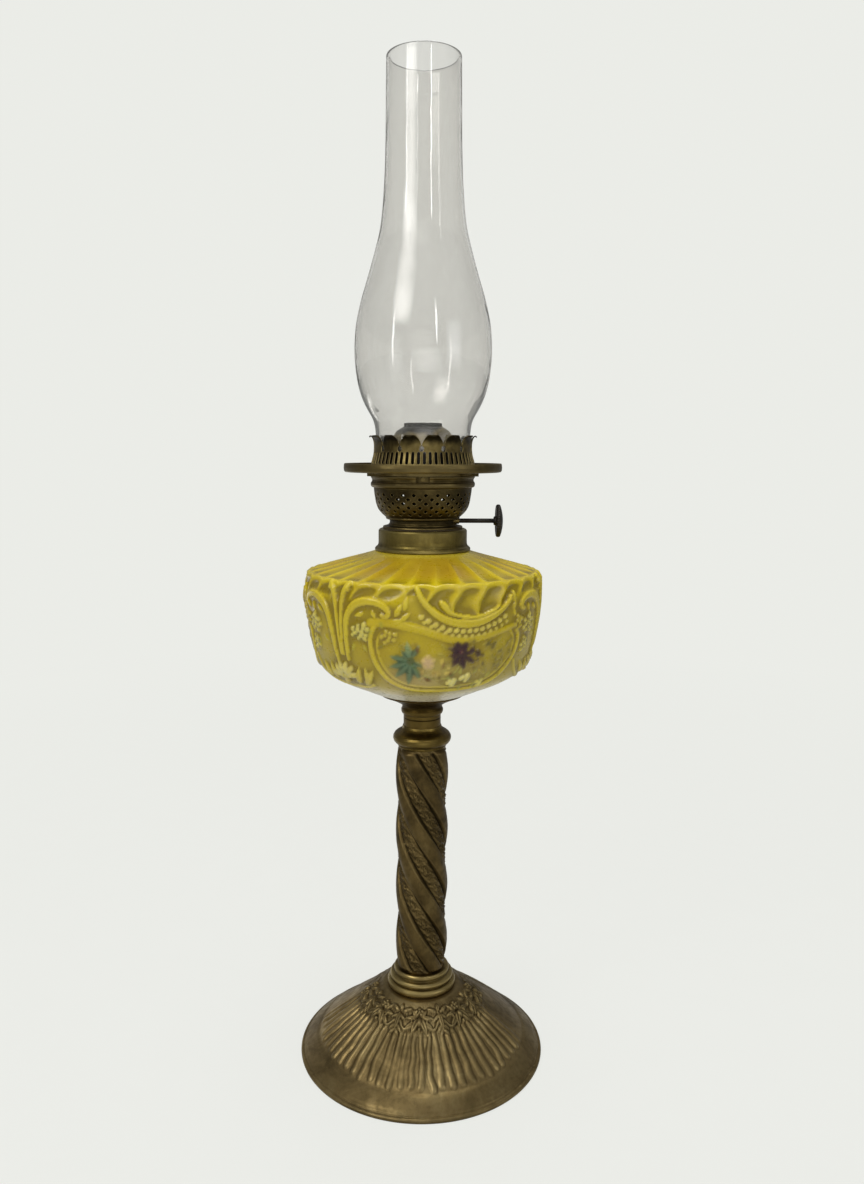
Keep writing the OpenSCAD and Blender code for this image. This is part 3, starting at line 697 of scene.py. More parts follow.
        # curled stems
        band.stroke([(m + 4, base_t(40)), (m + 8, base_t(42.5)), (m + 12.5, base_t(42)), (m + 15, base_t(39)), (m + 13, base_t(36.5))], 1.0, 0.7, 1.2)
        band.stroke([(m - 4, base_t(40)), (m - 8, base_t(42.5)), (m - 12.5, base_t(42)), (m - 15, base_t(39)), (m - 13, base_t(36.5))], 1.0, 0.7, 1.2)
        for q in range(3):
            band.ellipse(m + rl.uniform(-18, 18), base_t(rl.uniform(30.5, 43)), rl.uniform(0.7, 1.1), rl.uniform(0.7, 1.1), 0, rl.uniform(0.9, 1.3))
    leaf = np.maximum(band.H, 0) * 1.4
    keep = sstep(28.0, 29.5, r)[:, None] * (1 - sstep(47.8, 49.0, r))[:, None]
    leaf = leaf * (0.22 + 0.78 * sstep(16, 30, away(122.0)) * sstep(16, 30, away(-122.0)))[None]
    R.H = np.maximum(R.H, leaf * keep)
    # matted ground between the leaves
    gr = np.random.default_rng(5).normal(0, 1, R.H.shape)
    gr = (gr + np.roll(gr, 1, 1) + np.roll(gr, 1, 0) + np.roll(np.roll(gr, 1, 0), 1, 1)) / 4
    R.H += gr * 0.10 * keep * (leaf < 0.15)
    a = len(rim) - 1
    prof = np.concatenate([rim[:-1], slope, top, inner])
    # painted light: the flutes are painted lighter on the left and right, the plain band darker at the front and
    # lighter at the front left, standing in for how the light falls
    pr = np.array([q[0] for q in prof])[:, None]
    field_ = sstep(44, 48, pr) * (1 - sstep(72, 75, pr))
    painted_left_light = np.exp(-((away(-84.0) / 42.0) ** 2))[None]
    painted_right_light = np.exp(-((away(70.0) / 30.0) ** 2))[None]
    painted_front_shade = np.exp(-((away(0.0) / 55.0) ** 2))[None]
    painted_light_tone = 1.0 + field_ * (0.55 * painted_left_light + 0.22 * painted_right_light) - 0.24 * sstep(73.5, 76, pr) * painted_front_shade + 0.16 * sstep(73.5, 76, pr) * np.exp(-((away(-62.0) / 26.0) ** 2))[None]
    tint = np.clip(painted_light_tone, 0.3, 1.8)[..., None] * np.ones((1, 1, 3))
    ob = lathe("foot_cast", prof, nseg, disp=R.H, rows=(a, a + len(slope)), colours=tint)
    put(ob, "stand", "aged_brass", ["base_shell"], "foot_brass")
    return ob


build_foot()


# ------------------------------------------------------------------ column
def build_column():
    nseg, z0, z1, lead = 288, 62.55, 225.35, 165.0
    zz = np.linspace(z0, z1, 236)
    prof = np.stack([np.full_like(zz, 15.7), zz], 1)
    phi = -180.0 + 360.0 * np.arange(nseg) / nseg
    ang = phi[None] - 90.0
    # psi is constant along a strand; a crest passes +X at z = 82.5
    psi = (ang + 360.0 * (zz[:, None] - 82.5) / lead) % 90.0
    q = np.minimum(psi, 90.0 - psi) / 45.0            # 0 on the crest, 1 in the middle of the flat band
    signed = np.where(psi < 45, psi, psi - 90.0)       # degrees from the nearest crest
    crest = 2.65 * np.sqrt(np.maximum(0, 1 - (q / 0.50) ** 2)) ** 1.1
    notch = -0.75 * np.exp(-((q - 0.54) / 0.055) ** 2)
    band = 0.25 * np.sqrt(np.maximum(0, 1 - ((q - 1.0) / 0.42) ** 2))
    H = np.maximum(crest, band * (q > 0.5)) + notch
    # a fine bead line runs along each side of the crest
    H += 0.35 * np.exp(-((q - 0.40) / 0.035) ** 2)
    # rosettes and scrolls climb the flat band: distance along the strand s, across it w
    helix = math.sqrt(1 + (2 * math.pi * 16.4 / lead) ** 2)
    s = zz[:, None] * helix + 0 * ang
    w = (psi - 45.0) * math.pi / 180 * 16.4 / helix
    s2 = s + w * (2 * math.pi * 16.4 / lead)
    pitch_r = 15.5
    cell = (s2 % pitch_r) - pitch_r / 2
    rad = np.hypot(cell, w)
    th = np.arctan2(w, cell)
    petals = 1.15 * np.clip(1 - (rad / (4.0 * (0.70 + 0.30 * np.cos(5 * th)))) ** 2, 0, 1) ** 0.5
    petals = np.where(rad < 1.15, 1.3 * np.sqrt(np.maximum(0, 1 - (rad / 1.15) ** 2)) + 0.1, petals)
    ringg = -0.6 * np.exp(-((rad - 1.5) / 0.4) ** 2) - 0.5 * np.exp(-((rad - 4.5) / 0.4) ** 2)
    # curling tendrils between the rosettes
    cell2 = ((s2 + pitch_r / 2) % pitch_r) - pitch_r / 2
    tend = 1.05 * np.exp(-((w - 2.5 * np.sin(cell2 * 0.85)) / 0.75) ** 2) * (np.abs(cell2) < 3.9)
    dots = 0.9 * np.exp(-((np.hypot(cell2, np.abs(w) - 2.9)) / 0.8) ** 2)
    inband = sstep(0.60, 0.68, q)
    H += (petals + ringg + tend + dots) * inband
    # chased grooves beside the crest and cast roughness
    g = np.random.default_rng(4).normal(0, 1, H.shape)
    g = (g + np.roll(g, 1, 0) + np.roll(g, 1, 1) + np.roll(g, -1, 0)) / 4
    H += 0.045 * g
    # ends melt into round seats
    end = sstep(0, 3.0, zz - z0) * sstep(0, 2.5, z1 - zz)
    H = H * end[:, None] + 0.6 * (1 - end[:, None])
    inner = np.array([(13.0, z1), (13.0, 180.0), (13.0, 120.0), (13.0, z0)])
    full = np.concatenate([prof, inner])
    ob = lathe("column_twist", full, nseg, disp=H, rows=(0, len(prof)))
    put(ob, "stand", "column_brass", ["column"])


build_column()


# ------------------------------------------------------------------ font
def build_font():
    ctrl = [(27.5, 263.9), (33, 265.6), (40.5, 268.9), (47, 271.9), (53.5, 274.7), (59.5, 277.7), (64.6, 280.9), (68.2, 284.2), (70.6, 288), (72.4, 293),
            (74.2, 299), (75.7, 305), (77, 312), (78.1, 320), (78.9, 328), (79.3, 336), (79.3, 342), (78.8, 345.6), (77.4, 348.0), (75, 349.6), (70, 351.1), (62, 353.3),
            (53, 355.8), (44, 358.3), (36, 360.7), (31.5, 362.3)]
    fine = catmull(ctrl, 10)
    low = resample(fine[fine[:, 1] <= 280.9], 1.5)
    side = resample(fine[(fine[:, 1] >= 280.85) & (fine[:, 1] <= 349.7)], 0.78)
    shoulder = resample(fine[fine[:, 1] >= 349.5], 1.25)
    out = np.concatenate([low[:-1], side, shoulder[1:]])
    nseg = 660
    R = Relief(out, nseg)
    P, T, phi = R.P, R.T, R.phi
    r, z = P[:, 0], P[:, 1]
    tz = lambda zz: float(np.interp(zz, z, T))
    Z = lambda pts: [(a, tz(b)) for a, b in pts]

    gold = lin((196, 174, 10))
    gold_hi = lin((208, 188, 36))
    amber = lin((142, 104, 14))
    pale = lin((180, 162, 42))
    cream = lin((206, 192, 126))
    ivory = lin((226, 218, 184))
    teal = lin((26, 66, 42))
    teal2 = lin((96, 124, 90))
    leafg = lin((96, 122, 56))
    plum = lin((46, 6, 24))
    plum2 = lin((112, 40, 66))
    brown = lin((104, 66, 26))
    pink = lin((214, 176, 150))
    butter = lin((220, 212, 120))
    white = lin((228, 222, 150))

    # ---- ground colour: gold above, paler and creamier below
    zf = z[:, None] + 2.5 * np.sin(np.radians(phi * 3 + 40))[None]
    k1 = sstep(282, 322, zf)[..., None]
    ground = pale * (1 - k1) + gold * k1
    k2 = sstep(270, 290, zf)[..., None]
    ground = cream * 1.35 * (1 - k2) + ground * k2
    R.C[:] = ground

    # ---- shoulder flutes and the hollow panels under the edge
    np_ = 30
    swirl = 6.0 * (1 - sstep(30, 80, r))[:, None] + 4.6 * (sstep(336, 349, z) - 1)[:, None] * (z < 349.5)[:, None]
    ph = (phi[None] - 6.0 - swirl) / (360.0 / np_)
    u = 2 * (ph - np.floor(ph)) - 1
    on_top = sstep(349.0, 350.2, z)[:, None] * (1 - sstep(35.0, 40.0, 75.5 - r + 35.0)[:, None] * 0)
    fade_in = sstep(36.0, 56.0, r)[:, None]
    R.H += on_top * fade_in * (-1.15 * (1 - np.abs(u) ** 2.8) + 0.35)
    blk = ((phi + 69.0) % 120.0) - 69.0
    zl = np.interp(blk, [-69, -57, -50, -45, -41, -37, -31, -22, -15, -10, -4, -1, 4.5, 10, 17, 24, 30, 36, 41, 44, 51],
                   [340, 341.5, 339, 337, 337, 337, 339.5, 341.5, 339, 341, 343, 343, 333, 329.5, 327.5, 327.3, 329, 332, 336, 338.5, 340])
    panel = sstep(-0.5, 2.5, z[:, None] - zl[None]) * (1 - sstep(345.6, 348.2, z[:, None] + 2.2 * np.abs(u) ** 2))
    R.H += panel * (-1.75 * (1 - np.abs(u) ** 3.0) * (1 - 0.42 * u) + 0.45)
    # thin scalloped lip along the edge
    tl = tz(347.3) + 2.3 * (1 - np.abs(u[0 if u.shape[0] == 1 else int(np.argmin(np.abs(z - 348.4)))]) ** 2)
    lip = 0.95 * np.exp(-((T[:, None] - tl[None]) / 0.85) ** 2)
    R.H += lip

    flat = R.H.copy()
    stamp = Relief(out, nseg)
    stamp.H[:] = -9
    stamp.C = R.C

    def flower(a, zc, size, h=1.5, petal=butter, heart=brown, n=5, rot=0.0, gap=amber):
        t = tz(zc)
        rr = float(np.interp(t, T, r))
        stamp.ellipse(a, t, size * 1.15, size * 1.15, 0, 0.25, colour=gap, amount=0.75, soft=0.4)
        for i in range(n):
            w = math.radians(rot) + i * 2 * math.pi / n
            stamp.ellipse(a + math.degrees(0.58 * size * math.cos(w) / rr), t + 0.58 * size * math.sin(w), 0.50 * size, 0.36 * size, math.degrees(w), h, colour=petal, amount=0.9)
        stamp.ellipse(a, t, 0.26 * size, 0.26 * size, 0, h * 0.95, colour=heart, amount=0.85)

    for off in (0.0, 120.0, -120.0):
        S = lambda pts: [(a + off, tz(b)) for a, b in pts]
        # cartouche ground
        cz = tz(302)
        stamp.ellipse(10 + off, tz(293), 44, 13, -2, 0, colour=cream, amount=0.42, soft=0.8)
        stamp.ellipse(-6 + off, tz(289), 22, 10, 0, 0, colour=lin((205, 186, 138)), amount=0.5, soft=0.8)
        # cartouche border, an outer rib and a fine inner line
        b_out = [(-22, 323), (-24, 317), (-24.2, 309), (-23, 301), (-20, 293.5), (-16, 288), (-10, 284), (-3, 281.9), (5, 281.3), (13, 281.3), (22, 281.8), (31, 283.3), (38, 286.3), (44, 291.3), (48.6, 298), (51.2, 306), (51.2, 314), (48, 320.5)]
        b_in = [(-19, 319), (-20.8, 314), (-20.9, 308), (-19.6, 300.5), (-16.8, 294), (-13, 289.4), (-8, 286.4), (-2, 284.9), (6, 284.3), (14, 284.2), (22, 284.8), (30, 286.4), (36.5, 289.6), (42, 294.4), (46, 300.5), (47.8, 307), (47.6, 313), (44.8, 318.2)]
        stamp.stroke(S(b_out), 1.8, 1.8, 1.25, colour=gold_hi, amount=0.5, smooth=4, p=0.7)
        stamp.stroke(S(b_in), 1.0, 1.0, 0.6, colour=pale * 1.1, amount=0.4, smooth=4, p=0.7)
        # ribbon along the top of the cartouche
        stamp.stroke(S([(-23.5, 325), (-17, 326), (-9, 324.8), (0, 322), (7, 318.6), (14, 315.6), (22, 315), (31, 316.5), (40, 319), (48, 321)]), 3.4, 1.8, 0.85, colour=gold, amount=0.4, mid=2.8, p=0.8)
        # big crescent and the leaf inside it
        stamp.stroke(S([(-2.5, 347), (-0.3, 341), (3.6, 334.6), (9, 329.2), (16, 325.9), (24, 325.5), (31, 327.8), (37, 331.6), (41.5, 336), (43.8, 340)]), 1.5, 1.2, 2.2, colour=gold_hi, amount=0.35, mid=2.9, groove=0.7)
        stamp.stroke(S([(8.2, 338.5), (10.2, 334.6), (14.4, 331.2), (20, 329.4), (26.5, 329.6), (32.5, 332), (36.5, 335)]), 1.5, 0.8, 1.6, colour=gold_hi, amount=0.35)
        stamp.leaf(9 + off, tz(339), -62, 9.5, 4.4, 1.7, colour=gold_hi, amount=0.3)
        # beads under the crescent
        for i in range(14):
            a = -0.5 + 3.15 * i
            zz_ = float(np.interp(a, [-1, 5, 12, 20, 28, 36, 43], [330.5, 325.5, 321.8, 320.4, 321.4, 324.6, 329.5]))
            stamp.ellipse(a + off, tz(zz_), 2.05, 1.7, 30, 1.5, colour=lin((222, 208, 112)), amount=0.7)
            stamp.ellipse(a + 1.4 + off, tz(zz_ - 3.3), 1.45, 1.25, 0, 1.1, colour=lin((216, 202, 108)), amount=0.6)
        # trumpet stem
        stamp.stroke(S([(-46.8, 348.0), (-44.2, 343), (-42.8, 334), (-42.1, 320), (-41.6, 303)]), 2.0, 1.1, 1.8, colour=gold_hi, amount=0.35, groove=0.4)
        stamp.stroke(S([(-35.0, 348.0), (-37.6, 343), (-39.0, 334), (-39.8, 320), (-40.5, 303)]), 2.0, 1.1, 1.8, colour=gold_hi, amount=0.35, groove=0.4)
        stamp.ellipse(-35.6 + off, tz(345.0), 1.8, 1.8, 0, 1.9, colour=gold_hi, amount=0.4)
        stamp.ellipse(-46.6 + off, tz(345.0), 1.6, 1.6, 0, 1.7, colour=gold_hi, amount=0.4)
        # scroll arcs on both sides of the stem
        stamp.stroke(S([(-66.2, 330.6), (-68.6, 333.2), (-66.6, 336.8), (-61.6, 338.6), (-56.4, 337.8), (-51.4, 334), (-48.2, 327.4), (-46.4, 317), (-45.4, 305), (-44.6, 297)]), 1.5, 1.3, 2.1, colour=gold_hi, amount=0.35, mid=3.0, groove=0.8)
        stamp.stroke(S([(-37.8, 300), (-37.5, 308), (-37.2, 317), (-36.4, 326), (-34.2, 332.2), (-30.6, 336.4), (-26, 338.4), (-21, 338.0), (-17, 335.6), (-15.0, 332.2), (-16.2, 329.6), (-18.4, 330.4)]), 1.3, 1.2, 2.0, colour=gold_hi, amount=0.35, mid=2.7, groove=0.7)
        # lesser leaves curling off the arcs
        for a, b, w, ln, wd in ((-12, 330, 62, 9, 3.6), (-9.5, 327.5, 40, 8, 3.2), (-8, 334, 75, 8.5, 3.4), (-13, 326.5, 15, 7, 3.0), (-27, 331, 200, 7, 3.0), (-23, 333, -60, 6, 2.6), (-57, 332, -35, 7, 3.0),
                                (-62, 333.5, -70, 6, 2.6), (46.5, 336, 100, 8, 3.2), (45.5, 331, 70, 7, 3.0), (47.5, 327, 120, 6, 2.8)):
            stamp.leaf(a + off, tz(b), w, ln, wd, 1.5, colour=gold_hi, amount=0.35)
        # flower clusters, heaps of small round blossoms over dark gaps
        def heap(a, b, w, h, n, size, height, petal, gap, seed):
            q = np.random.default_rng(seed)
            t = tz(b)
            rr = float(np.interp(t, T, r))
            stamp.ellipse(a, t, w * 0.95, h * 0.95, 0, 0.5, colour=gap, amount=0.85, soft=0.5)
            for i in range(n):
                k = math.sqrt((i + 0.4) / n)
                w_ = i * 2.399963 + q.uniform(-0.2, 0.2)
                g = size * q.uniform(0.8, 1.12)
                stamp.ellipse(a + math.degrees(w * 0.82 * k * math.cos(w_) / rr), t + h * 0.82 * k * math.sin(w_), g, g * q.uniform(0.75, 1.0), q.uniform(0, 180), height * q.uniform(0.85, 1.1), colour=petal, amount=0.88)

        green_gap, plum_gap = lin((92, 96, 26)), lin((86, 62, 34))
        heap(-29.0 + off, 319.0, 8.2, 6.6, 13, 1.75, 2.0, butter, green_gap, 1)
        heap(-60.5 + off, 320.0, 8.0, 8.0, 14, 1.75, 2.0, butter, plum_gap, 2)
        heap(-62.0 + off, 307.0, 5.5, 6.0, 8, 1.7, 1.8, butter, plum_gap, 5)
        heap(-15.6 + off, 317.0, 6.6, 5.0, 9, 1.6, 1.6, pale * 1.15, plum_gap, 3)
        heap(50.0 + off, 322.0, 5.6, 6.4, 9, 1.6, 1.7, pale * 1.15, plum_gap, 4)
        stamp.leaf(-17.5 + off, tz(312.0), -150, 5.5, 2.6, 0.9, 0.3, colour=lin((84, 78, 30)), amount=0.8)
        stamp.leaf(-10.5 + off, tz(312.5), -30, 5.0, 2.4, 0.9, 0.3, colour=lin((84, 78, 30)), amount=0.7)
        for a, b, w in ((-22.5, 319.5, 160), (-18, 322, 100), (-28, 311, -70), (-33, 311, -110), (-59, 310.5, -90), (-53.5, 313, -40)):
            stamp.leaf(a + off, tz(b), w, 5.6, 2.4, 1.0, colour=leafg, amount=0.45)
        # shell at the foot of the stem and fleur leaves beside it
        rs = float(np.interp(tz(290.0), T, r))
        for i, w in enumerate((-78, -46, -15, 15, 46, 78)):
            wr = math.radians(w)
            stamp.ellipse(-42.5 + off + math.degrees(6.2 * math.sin(wr) / rs), tz(288.0) + 6.4 * math.cos(wr), 4.6, 2.1, 90 - w, 2.5, colour=lin((214, 204, 140)), amount=0.75)
        for i, w in enumerate((-60, -20, 20, 60)):
            wr = math.radians(w)
            stamp.ellipse(-42.5 + off + math.degrees(2.6 * math.sin(wr) / rs), tz(286.6) + 2.8 * math.cos(wr), 2.6, 1.4, 90 - w, 2.2, colour=lin((188, 176, 100)), amount=0.6)
        stamp.ellipse(-42.5 + off, tz(285.2), 2.6, 2.0, 0, 2.4, colour=lin((206, 190, 150)), amount=0.7)
        for a, b, w, ln, wd in ((-34.8, 283.6, 78, 13.5, 4.6), (-30.6, 283.4, 58, 14.5, 4.8), (-27.8, 284.4, 98, 12.5, 4.2), (-50.2, 284.6, 106, 12.5, 4.6), (-54.4, 285.4, 126, 12.5, 4.6)):
            stamp.leaf(a + off, tz(b), w, ln, wd, 1.9, 0.3, colour=lin((206, 190, 104)), amount=0.55)
        stamp.stroke(S([(-26.5, 283.6), (-31, 281.6), (-38, 281.0), (-46, 281.2), (-53, 282.4), (-60, 285.5), (-65, 290.5), (-68, 297)]), 1.5, 1.2, 1.2, colour=cream, amount=0.3)
        # painted teal spray
        stamp.ellipse(-5.6 + off, tz(301.5), 3.4, 4.2, 0, 0.5, colour=teal, amount=0.85)
        for a, b, w, ln, wd, c1, c2 in ((-7.0, 302.8, 170, 11.5, 5.0, teal, teal2), (-6.6, 304.4, 132, 6.5, 3.6, teal2, teal), (-5.8, 304.6, 100, 10.0, 4.6, teal2, teal2 * 1.3), (-4.6, 304.6, 62, 9.5, 4.2, teal * 0.5, teal2),
                                        (-7.0, 300.6, 196, 12.0, 5.4, teal, teal2), (-6.4, 299.8, 226, 13.0, 5.2, teal, teal2), (-5.4, 299.4, 262, 14.0, 5.2, teal, teal2),
                                        (-4.6, 299.8, 292, 12.0, 4.6, teal * 0.8, teal2), (-4.2, 301.4, 330, 6.5, 3.4, teal2, teal)):
            stamp.leaf(a + off, tz(b), w, ln, wd, 0.9, 0.35, colour=c1, amount=0.95, colour2=c2)
        # pale pink blossom right of the spray
        stamp.ellipse(2.6 + off, tz(301.0), 4.2, 5.6, 10, 0.35, colour=pink * 0.92, amount=0.55, soft=0.8)
        for i in range(5):
            w = math.radians(i * 72 + 20)
            stamp.ellipse(2.8 + off + math.degrees(2.7 * math.cos(w) / 76.0), tz(301.4) + 2.9 * math.sin(w), 2.3, 1.8, i * 72 + 20, 0.8, colour=pink * (0.82 + 0.06 * (i % 3)), amount=0.6, soft=0.6)
        for a, b, w, ln in ((9.0, 299.5, 80, 5.0), (7.6, 295.0, -80, 5.2), (10.4, 293.0, 20, 4.6)):
            stamp.leaf(a + off, tz(b), w, ln, 2.8, 0.8, 0.3, colour=lin((196, 168, 90)), amount=0.6)
        # small brown leaves and stems
        for a, b, w, ln in ((1.0, 291.4, -35, 5.5), (3.4, 289.0, 150, 5.0), (2.0, 288.0, 60, 4.4), (13.0, 294.2, -60, 5.2), (15.5, 291.6, 130, 4.8), (-1.5, 307.5, 110, 4.5), (9.2, 296.5, 70, 5.5)):
            stamp.leaf(a + off, tz(b), w, ln, 2.5, 0.8, 0.3, colour=brown, amount=0.85)
        stamp.stroke(S([(-5, 300), (-1, 294), (5, 290.5), (12, 290.5), (17, 296), (19, 304)]), 0.55, 0.45, 0.55, colour=leafg, amount=0.7)
        stamp.stroke(S([(12, 290.5), (20, 288.2), (29, 286.5)]), 0.5, 0.4, 0.5, colour=leafg, amount=0.6)
        # dark plum flower
        stamp.ellipse(18.6 + off, tz(306.5), 4.2, 4.6, 0, 0.8, colour=plum, amount=0.97)
        for a, b, w, ln, wd in ((17.5, 308, 165, 8.5, 3.4), (17.8, 309, 118, 6.5, 4.6), (19.5, 309, 72, 5.5, 4.4), (21, 306.5, 15, 5.5, 4.0), (20.5, 304.5, -38, 8.5, 4.4), (19.0, 303.5, -78, 8.5, 4.6), (17.0, 304.0, -122, 7.5, 4.4), (16.2, 306.0, -172, 6.0, 3.8)):
            stamp.leaf(a + off, tz(b), w, ln, wd, 1.1, 0.25, colour=plum, amount=0.97, colour2=plum * 1.4)
        stamp.ellipse(26.4 + off, tz(306.0), 2.5, 3.0, 20, 1.1, colour=plum, amount=0.96)
        for a, b, e1, e2, w in ((14.6, 308.6, 2.6, 1.9, 160), (15.4, 311.8, 2.4, 2.2, 120), (19.6, 312.2, 2.3, 2.0, 60), (23.4, 309.4, 2.4, 1.9, 20), (22.4, 302.8, 2.7, 2.3, -40), (18.8, 300.4, 2.4, 2.8, -80), (15.0, 302.6, 2.4, 2.0, -130), (29.2, 304.2, 1.7, 1.4, -30), (26.6, 301.6, 1.5, 1.3, 10)):
            stamp.ellipse(a + off, tz(b), e1, e2, w, 1.0, colour=plum, amount=0.95, soft=0.35)
        stamp.ellipse(18.2 + off, tz(307.6), 1.3, 1.3, 0, 1.4, colour=plum2, amount=0.5)
        for a, b, w, ln in ((10.6, 305.5, 175, 6.0), (11.5, 309.5, 140, 5.4), (30, 310, 40, 5.5), (34, 303, -20, 6.5), (30, 297.5, -50, 6.5), (37, 297, 10, 5.5), (35, 309, 75, 5.0), (40.5, 304, 100, 5.5)):
            stamp.leaf(a + off, tz(b), w, ln, 2.9, 0.9, 0.3, colour=lin((112, 100, 32)), amount=0.75)
        for a, b in ((-3.6, 312.6), (12.2, 301.0), (30.5, 312.0), (9.5, 288.2)):
            stamp.ellipse(a + off, tz(b), 2.3, 1.3, 25, 0.3, colour=lin((116, 96, 30)), amount=0.7)
        sc_ = np.random.default_rng(21)
        for i in range(58):
            a, b = sc_.uniform(24.0, 46.5), sc_.uniform(288.0, 316.0)
            if (a - 34) ** 2 / 14.0 ** 2 + (b - 303) ** 2 / 14.0 ** 2 > 1 or (a < 29 and 299 < b < 312):
                continue
            c_ = (lin((104, 90, 26)), lin((132, 116, 40)), lin((84, 72, 22)), lin((150, 138, 62)))[i % 4]
            stamp.leaf(a + off, tz(b), sc_.uniform(0, 360), sc_.uniform(3.6, 5.6), sc_.uniform(1.8, 2.8), 0.7, 0.3, colour=c_, amount=0.7)
        for i in range(16):
            a, b = sc_.uniform(-1.0, 16.0), sc_.uniform(286.5, 297.5)
            c_ = (lin((150, 118, 56)), lin((108, 92, 30)), lin((176, 156, 84)))[i % 3]
            stamp.leaf(a + off, tz(b), sc_.uniform(0, 360), sc_.uniform(3.2, 4.8), sc_.uniform(1.6, 2.4), 0.6, 0.3, colour=c_, amount=0.65)
        # butter-coloured blossoms low on the right
        heap(15.0 + off, 287.6, 3.9, 3.3, 5, 1.9, 1.5, white, green_gap, 6)
        heap(21.8 + off, 289.8, 3.8, 3.4, 5, 1.8, 1.5, white, green_gap, 7)
        heap(29.8 + off, 285.8, 3.6, 2.6, 4, 1.7, 1.4, butter, green_gap, 8)
        for a, b, w in ((18.5, 292.5, 80), (25.5, 292.5, 50), (33, 289.5, 30), (19.0, 284.8, -80), (26, 285.4, -60)):
            stamp.leaf(a + off, tz(b), w, 4.6, 2.2, 0.8, 0.3, colour=leafg, amount=0.6)
    rel = np.maximum(stamp.H, 0)
    # stamps stand on the ground they cross
    R.H = np.where(stamp.H > 0, np.maximum(flat * 0.35 + rel, rel), flat)
    R.H = 1.12 * (0.36 * R.blurred(2) + 0.64 * R.H)
    C = stamp.C
    for ch in range(3):
        C[..., ch] = 0.35 * C[..., ch] + 0.65 * stamp.blurred(1, C[..., ch])
    # pooled glaze and painted shade in the hollows, thin glaze on the crests
    soft = R.blurred(6)
    fine_soft = R.blurred(2)
    hollow = np.clip((soft - R.H) / 0.62, 0, 1) ** 0.8
    # painted shade: darkest along the foot of each raised line, like occlusion
    painted_edge_shade = np.clip((R.blurred(3) - R.H - 0.10) / 0.38, 0, 1)
    hollow = np.clip(0.65 * hollow + 0.75 * painted_edge_shade, 0, 1)[..., None]
    crest = np.clip((R.H - fine_soft) / 0.35, 0, 1)[..., None] * 0.6 + np.clip((R.H - soft) / 0.9, 0, 1)[..., None] * 0.6
    crest = np.clip(crest, 0, 1)
    lum = C.mean(2, keepdims=True)
    painted = 1 - sstep(0.13, 0.22, lum)
    C = C * (1 - 0.72 * hollow * (1 - painted)) + lin((114, 96, 6)) * 0.72 * hollow * (1 - painted)
    C = C * (1 - 0.40 * crest * (1 - painted)) + lin((218, 200, 58)) * 0.40 * crest * (1 - painted)
    # orange-brown washes on the shoulder, strongest towards the neck
    wash = 0.5 + 0.5 * np.sin(np.radians(phi * 2 + 25))[None] * np.cos(np.radians(phi * 5 - 60))[None]
    sh = sstep(350, 353, z)[:, None] * (1 - 0.55 * sstep(58, 76, r)[:, None])
    wash = np.clip(wash + 0.55 * np.exp(-((phi - 4.0) / 30.0) ** 2)[None], 0, 1.15)
    kw = (0.50 * wash * sh)[..., None]
    C = C * (1 - kw) + lin((176, 134, 34)) * kw
    kn = (sstep(359.5, 361.5, z)[:, None] * 0.7)[..., None] * np.ones((1, nseg, 1))
    C = C * (1 - kn) + lin((205, 186, 60)) * kn
    # painted light: the bottom of the font is painted pale ivory below z 280, standing in for light bounced up from the
    # floor
    painted_bounce_light = ((1 - sstep(271.0, 280.0, z))[:, None])[..., None] * np.ones((1, nseg, 1))
    C = C * (1 - painted_bounce_light) + ivory * painted_bounce_light
    # closing loop: neck, hollow inside, foot socket
    top = np.array([(28.4, 362.9), (27.2, 363.2), (27.2, 372.5), (24.2, 372.5), (24.2, 360.4), (30.4, 357.7)])
    nr = normals2d(fine, False)
    ins = fine - 5.0 * nr
    ins = ins[(ins[:, 0] > 31) & (ins[:, 1] > 268.8)][::-1]
    ins = resample(ins, 6.0)
    bot = np.array([(27.5, 269.2), (14, 268.4), (0.25, 268.2), (0.25, 257.5), (11.5, 257.5), (11.5, 262.4), (20, 262.9)])
    rest = np.concatenate([top, ins, bot])
    prof = np.concatenate([out, rest])
    cols = np.concatenate([C, np.ones((len(rest), nseg, 3)) * ivory * 0.8])
    ob = lathe("font_relief", prof, nseg, disp=R.H, rows=(0, len(out)), colours=cols)
    put(ob, "stand", "majolica", ["font"])


build_font()


# ------------------------------------------------------------------ pierced sheet metal
def march(f, us, vs):
    """Triangles and quads of the region f(u, v) > 0 on a grid, with edges cut where f crosses zero."""
    F = np.array([[f(u, v) for u in us] for v in vs])
    verts, index, faces = [], {}, []

    def vid(key, pt):
        if key not in index:
            index[key] = len(verts)
            verts.append(pt)
        return index[key]

    for j in range(len(vs) - 1):
        for i in range(len(us) - 1):
            cs = [(i, j), (i + 1, j), (i + 1, j + 1), (i, j + 1)]
            vals = [F[b, a] for a, b in cs]
            if max(vals) <= 0:
                continue
            poly = []
            for k in range(4):
                (a, b), (c, d) = cs[k], cs[(k + 1) % 4]
                v0, v1 = vals[k], vals[(k + 1) % 4]
                if v0 > 0:
                    poly.append(vid(("v", a, b), (us[a], vs[b])))
                if (v0 > 0) != (v1 > 0):
                    t = min(max(v0 / (v0 - v1), 0.02), 0.98)
                    key = ("e",) + tuple(sorted(((a, b), (c, d))))
                    poly.append(vid(key, (us[a] + (us[c] - us[a]) * t, vs[b] + (vs[d] - vs[b]) * t)))
            if len(poly) >= 3:
                faces.append(poly)
    return np.array(verts), faces


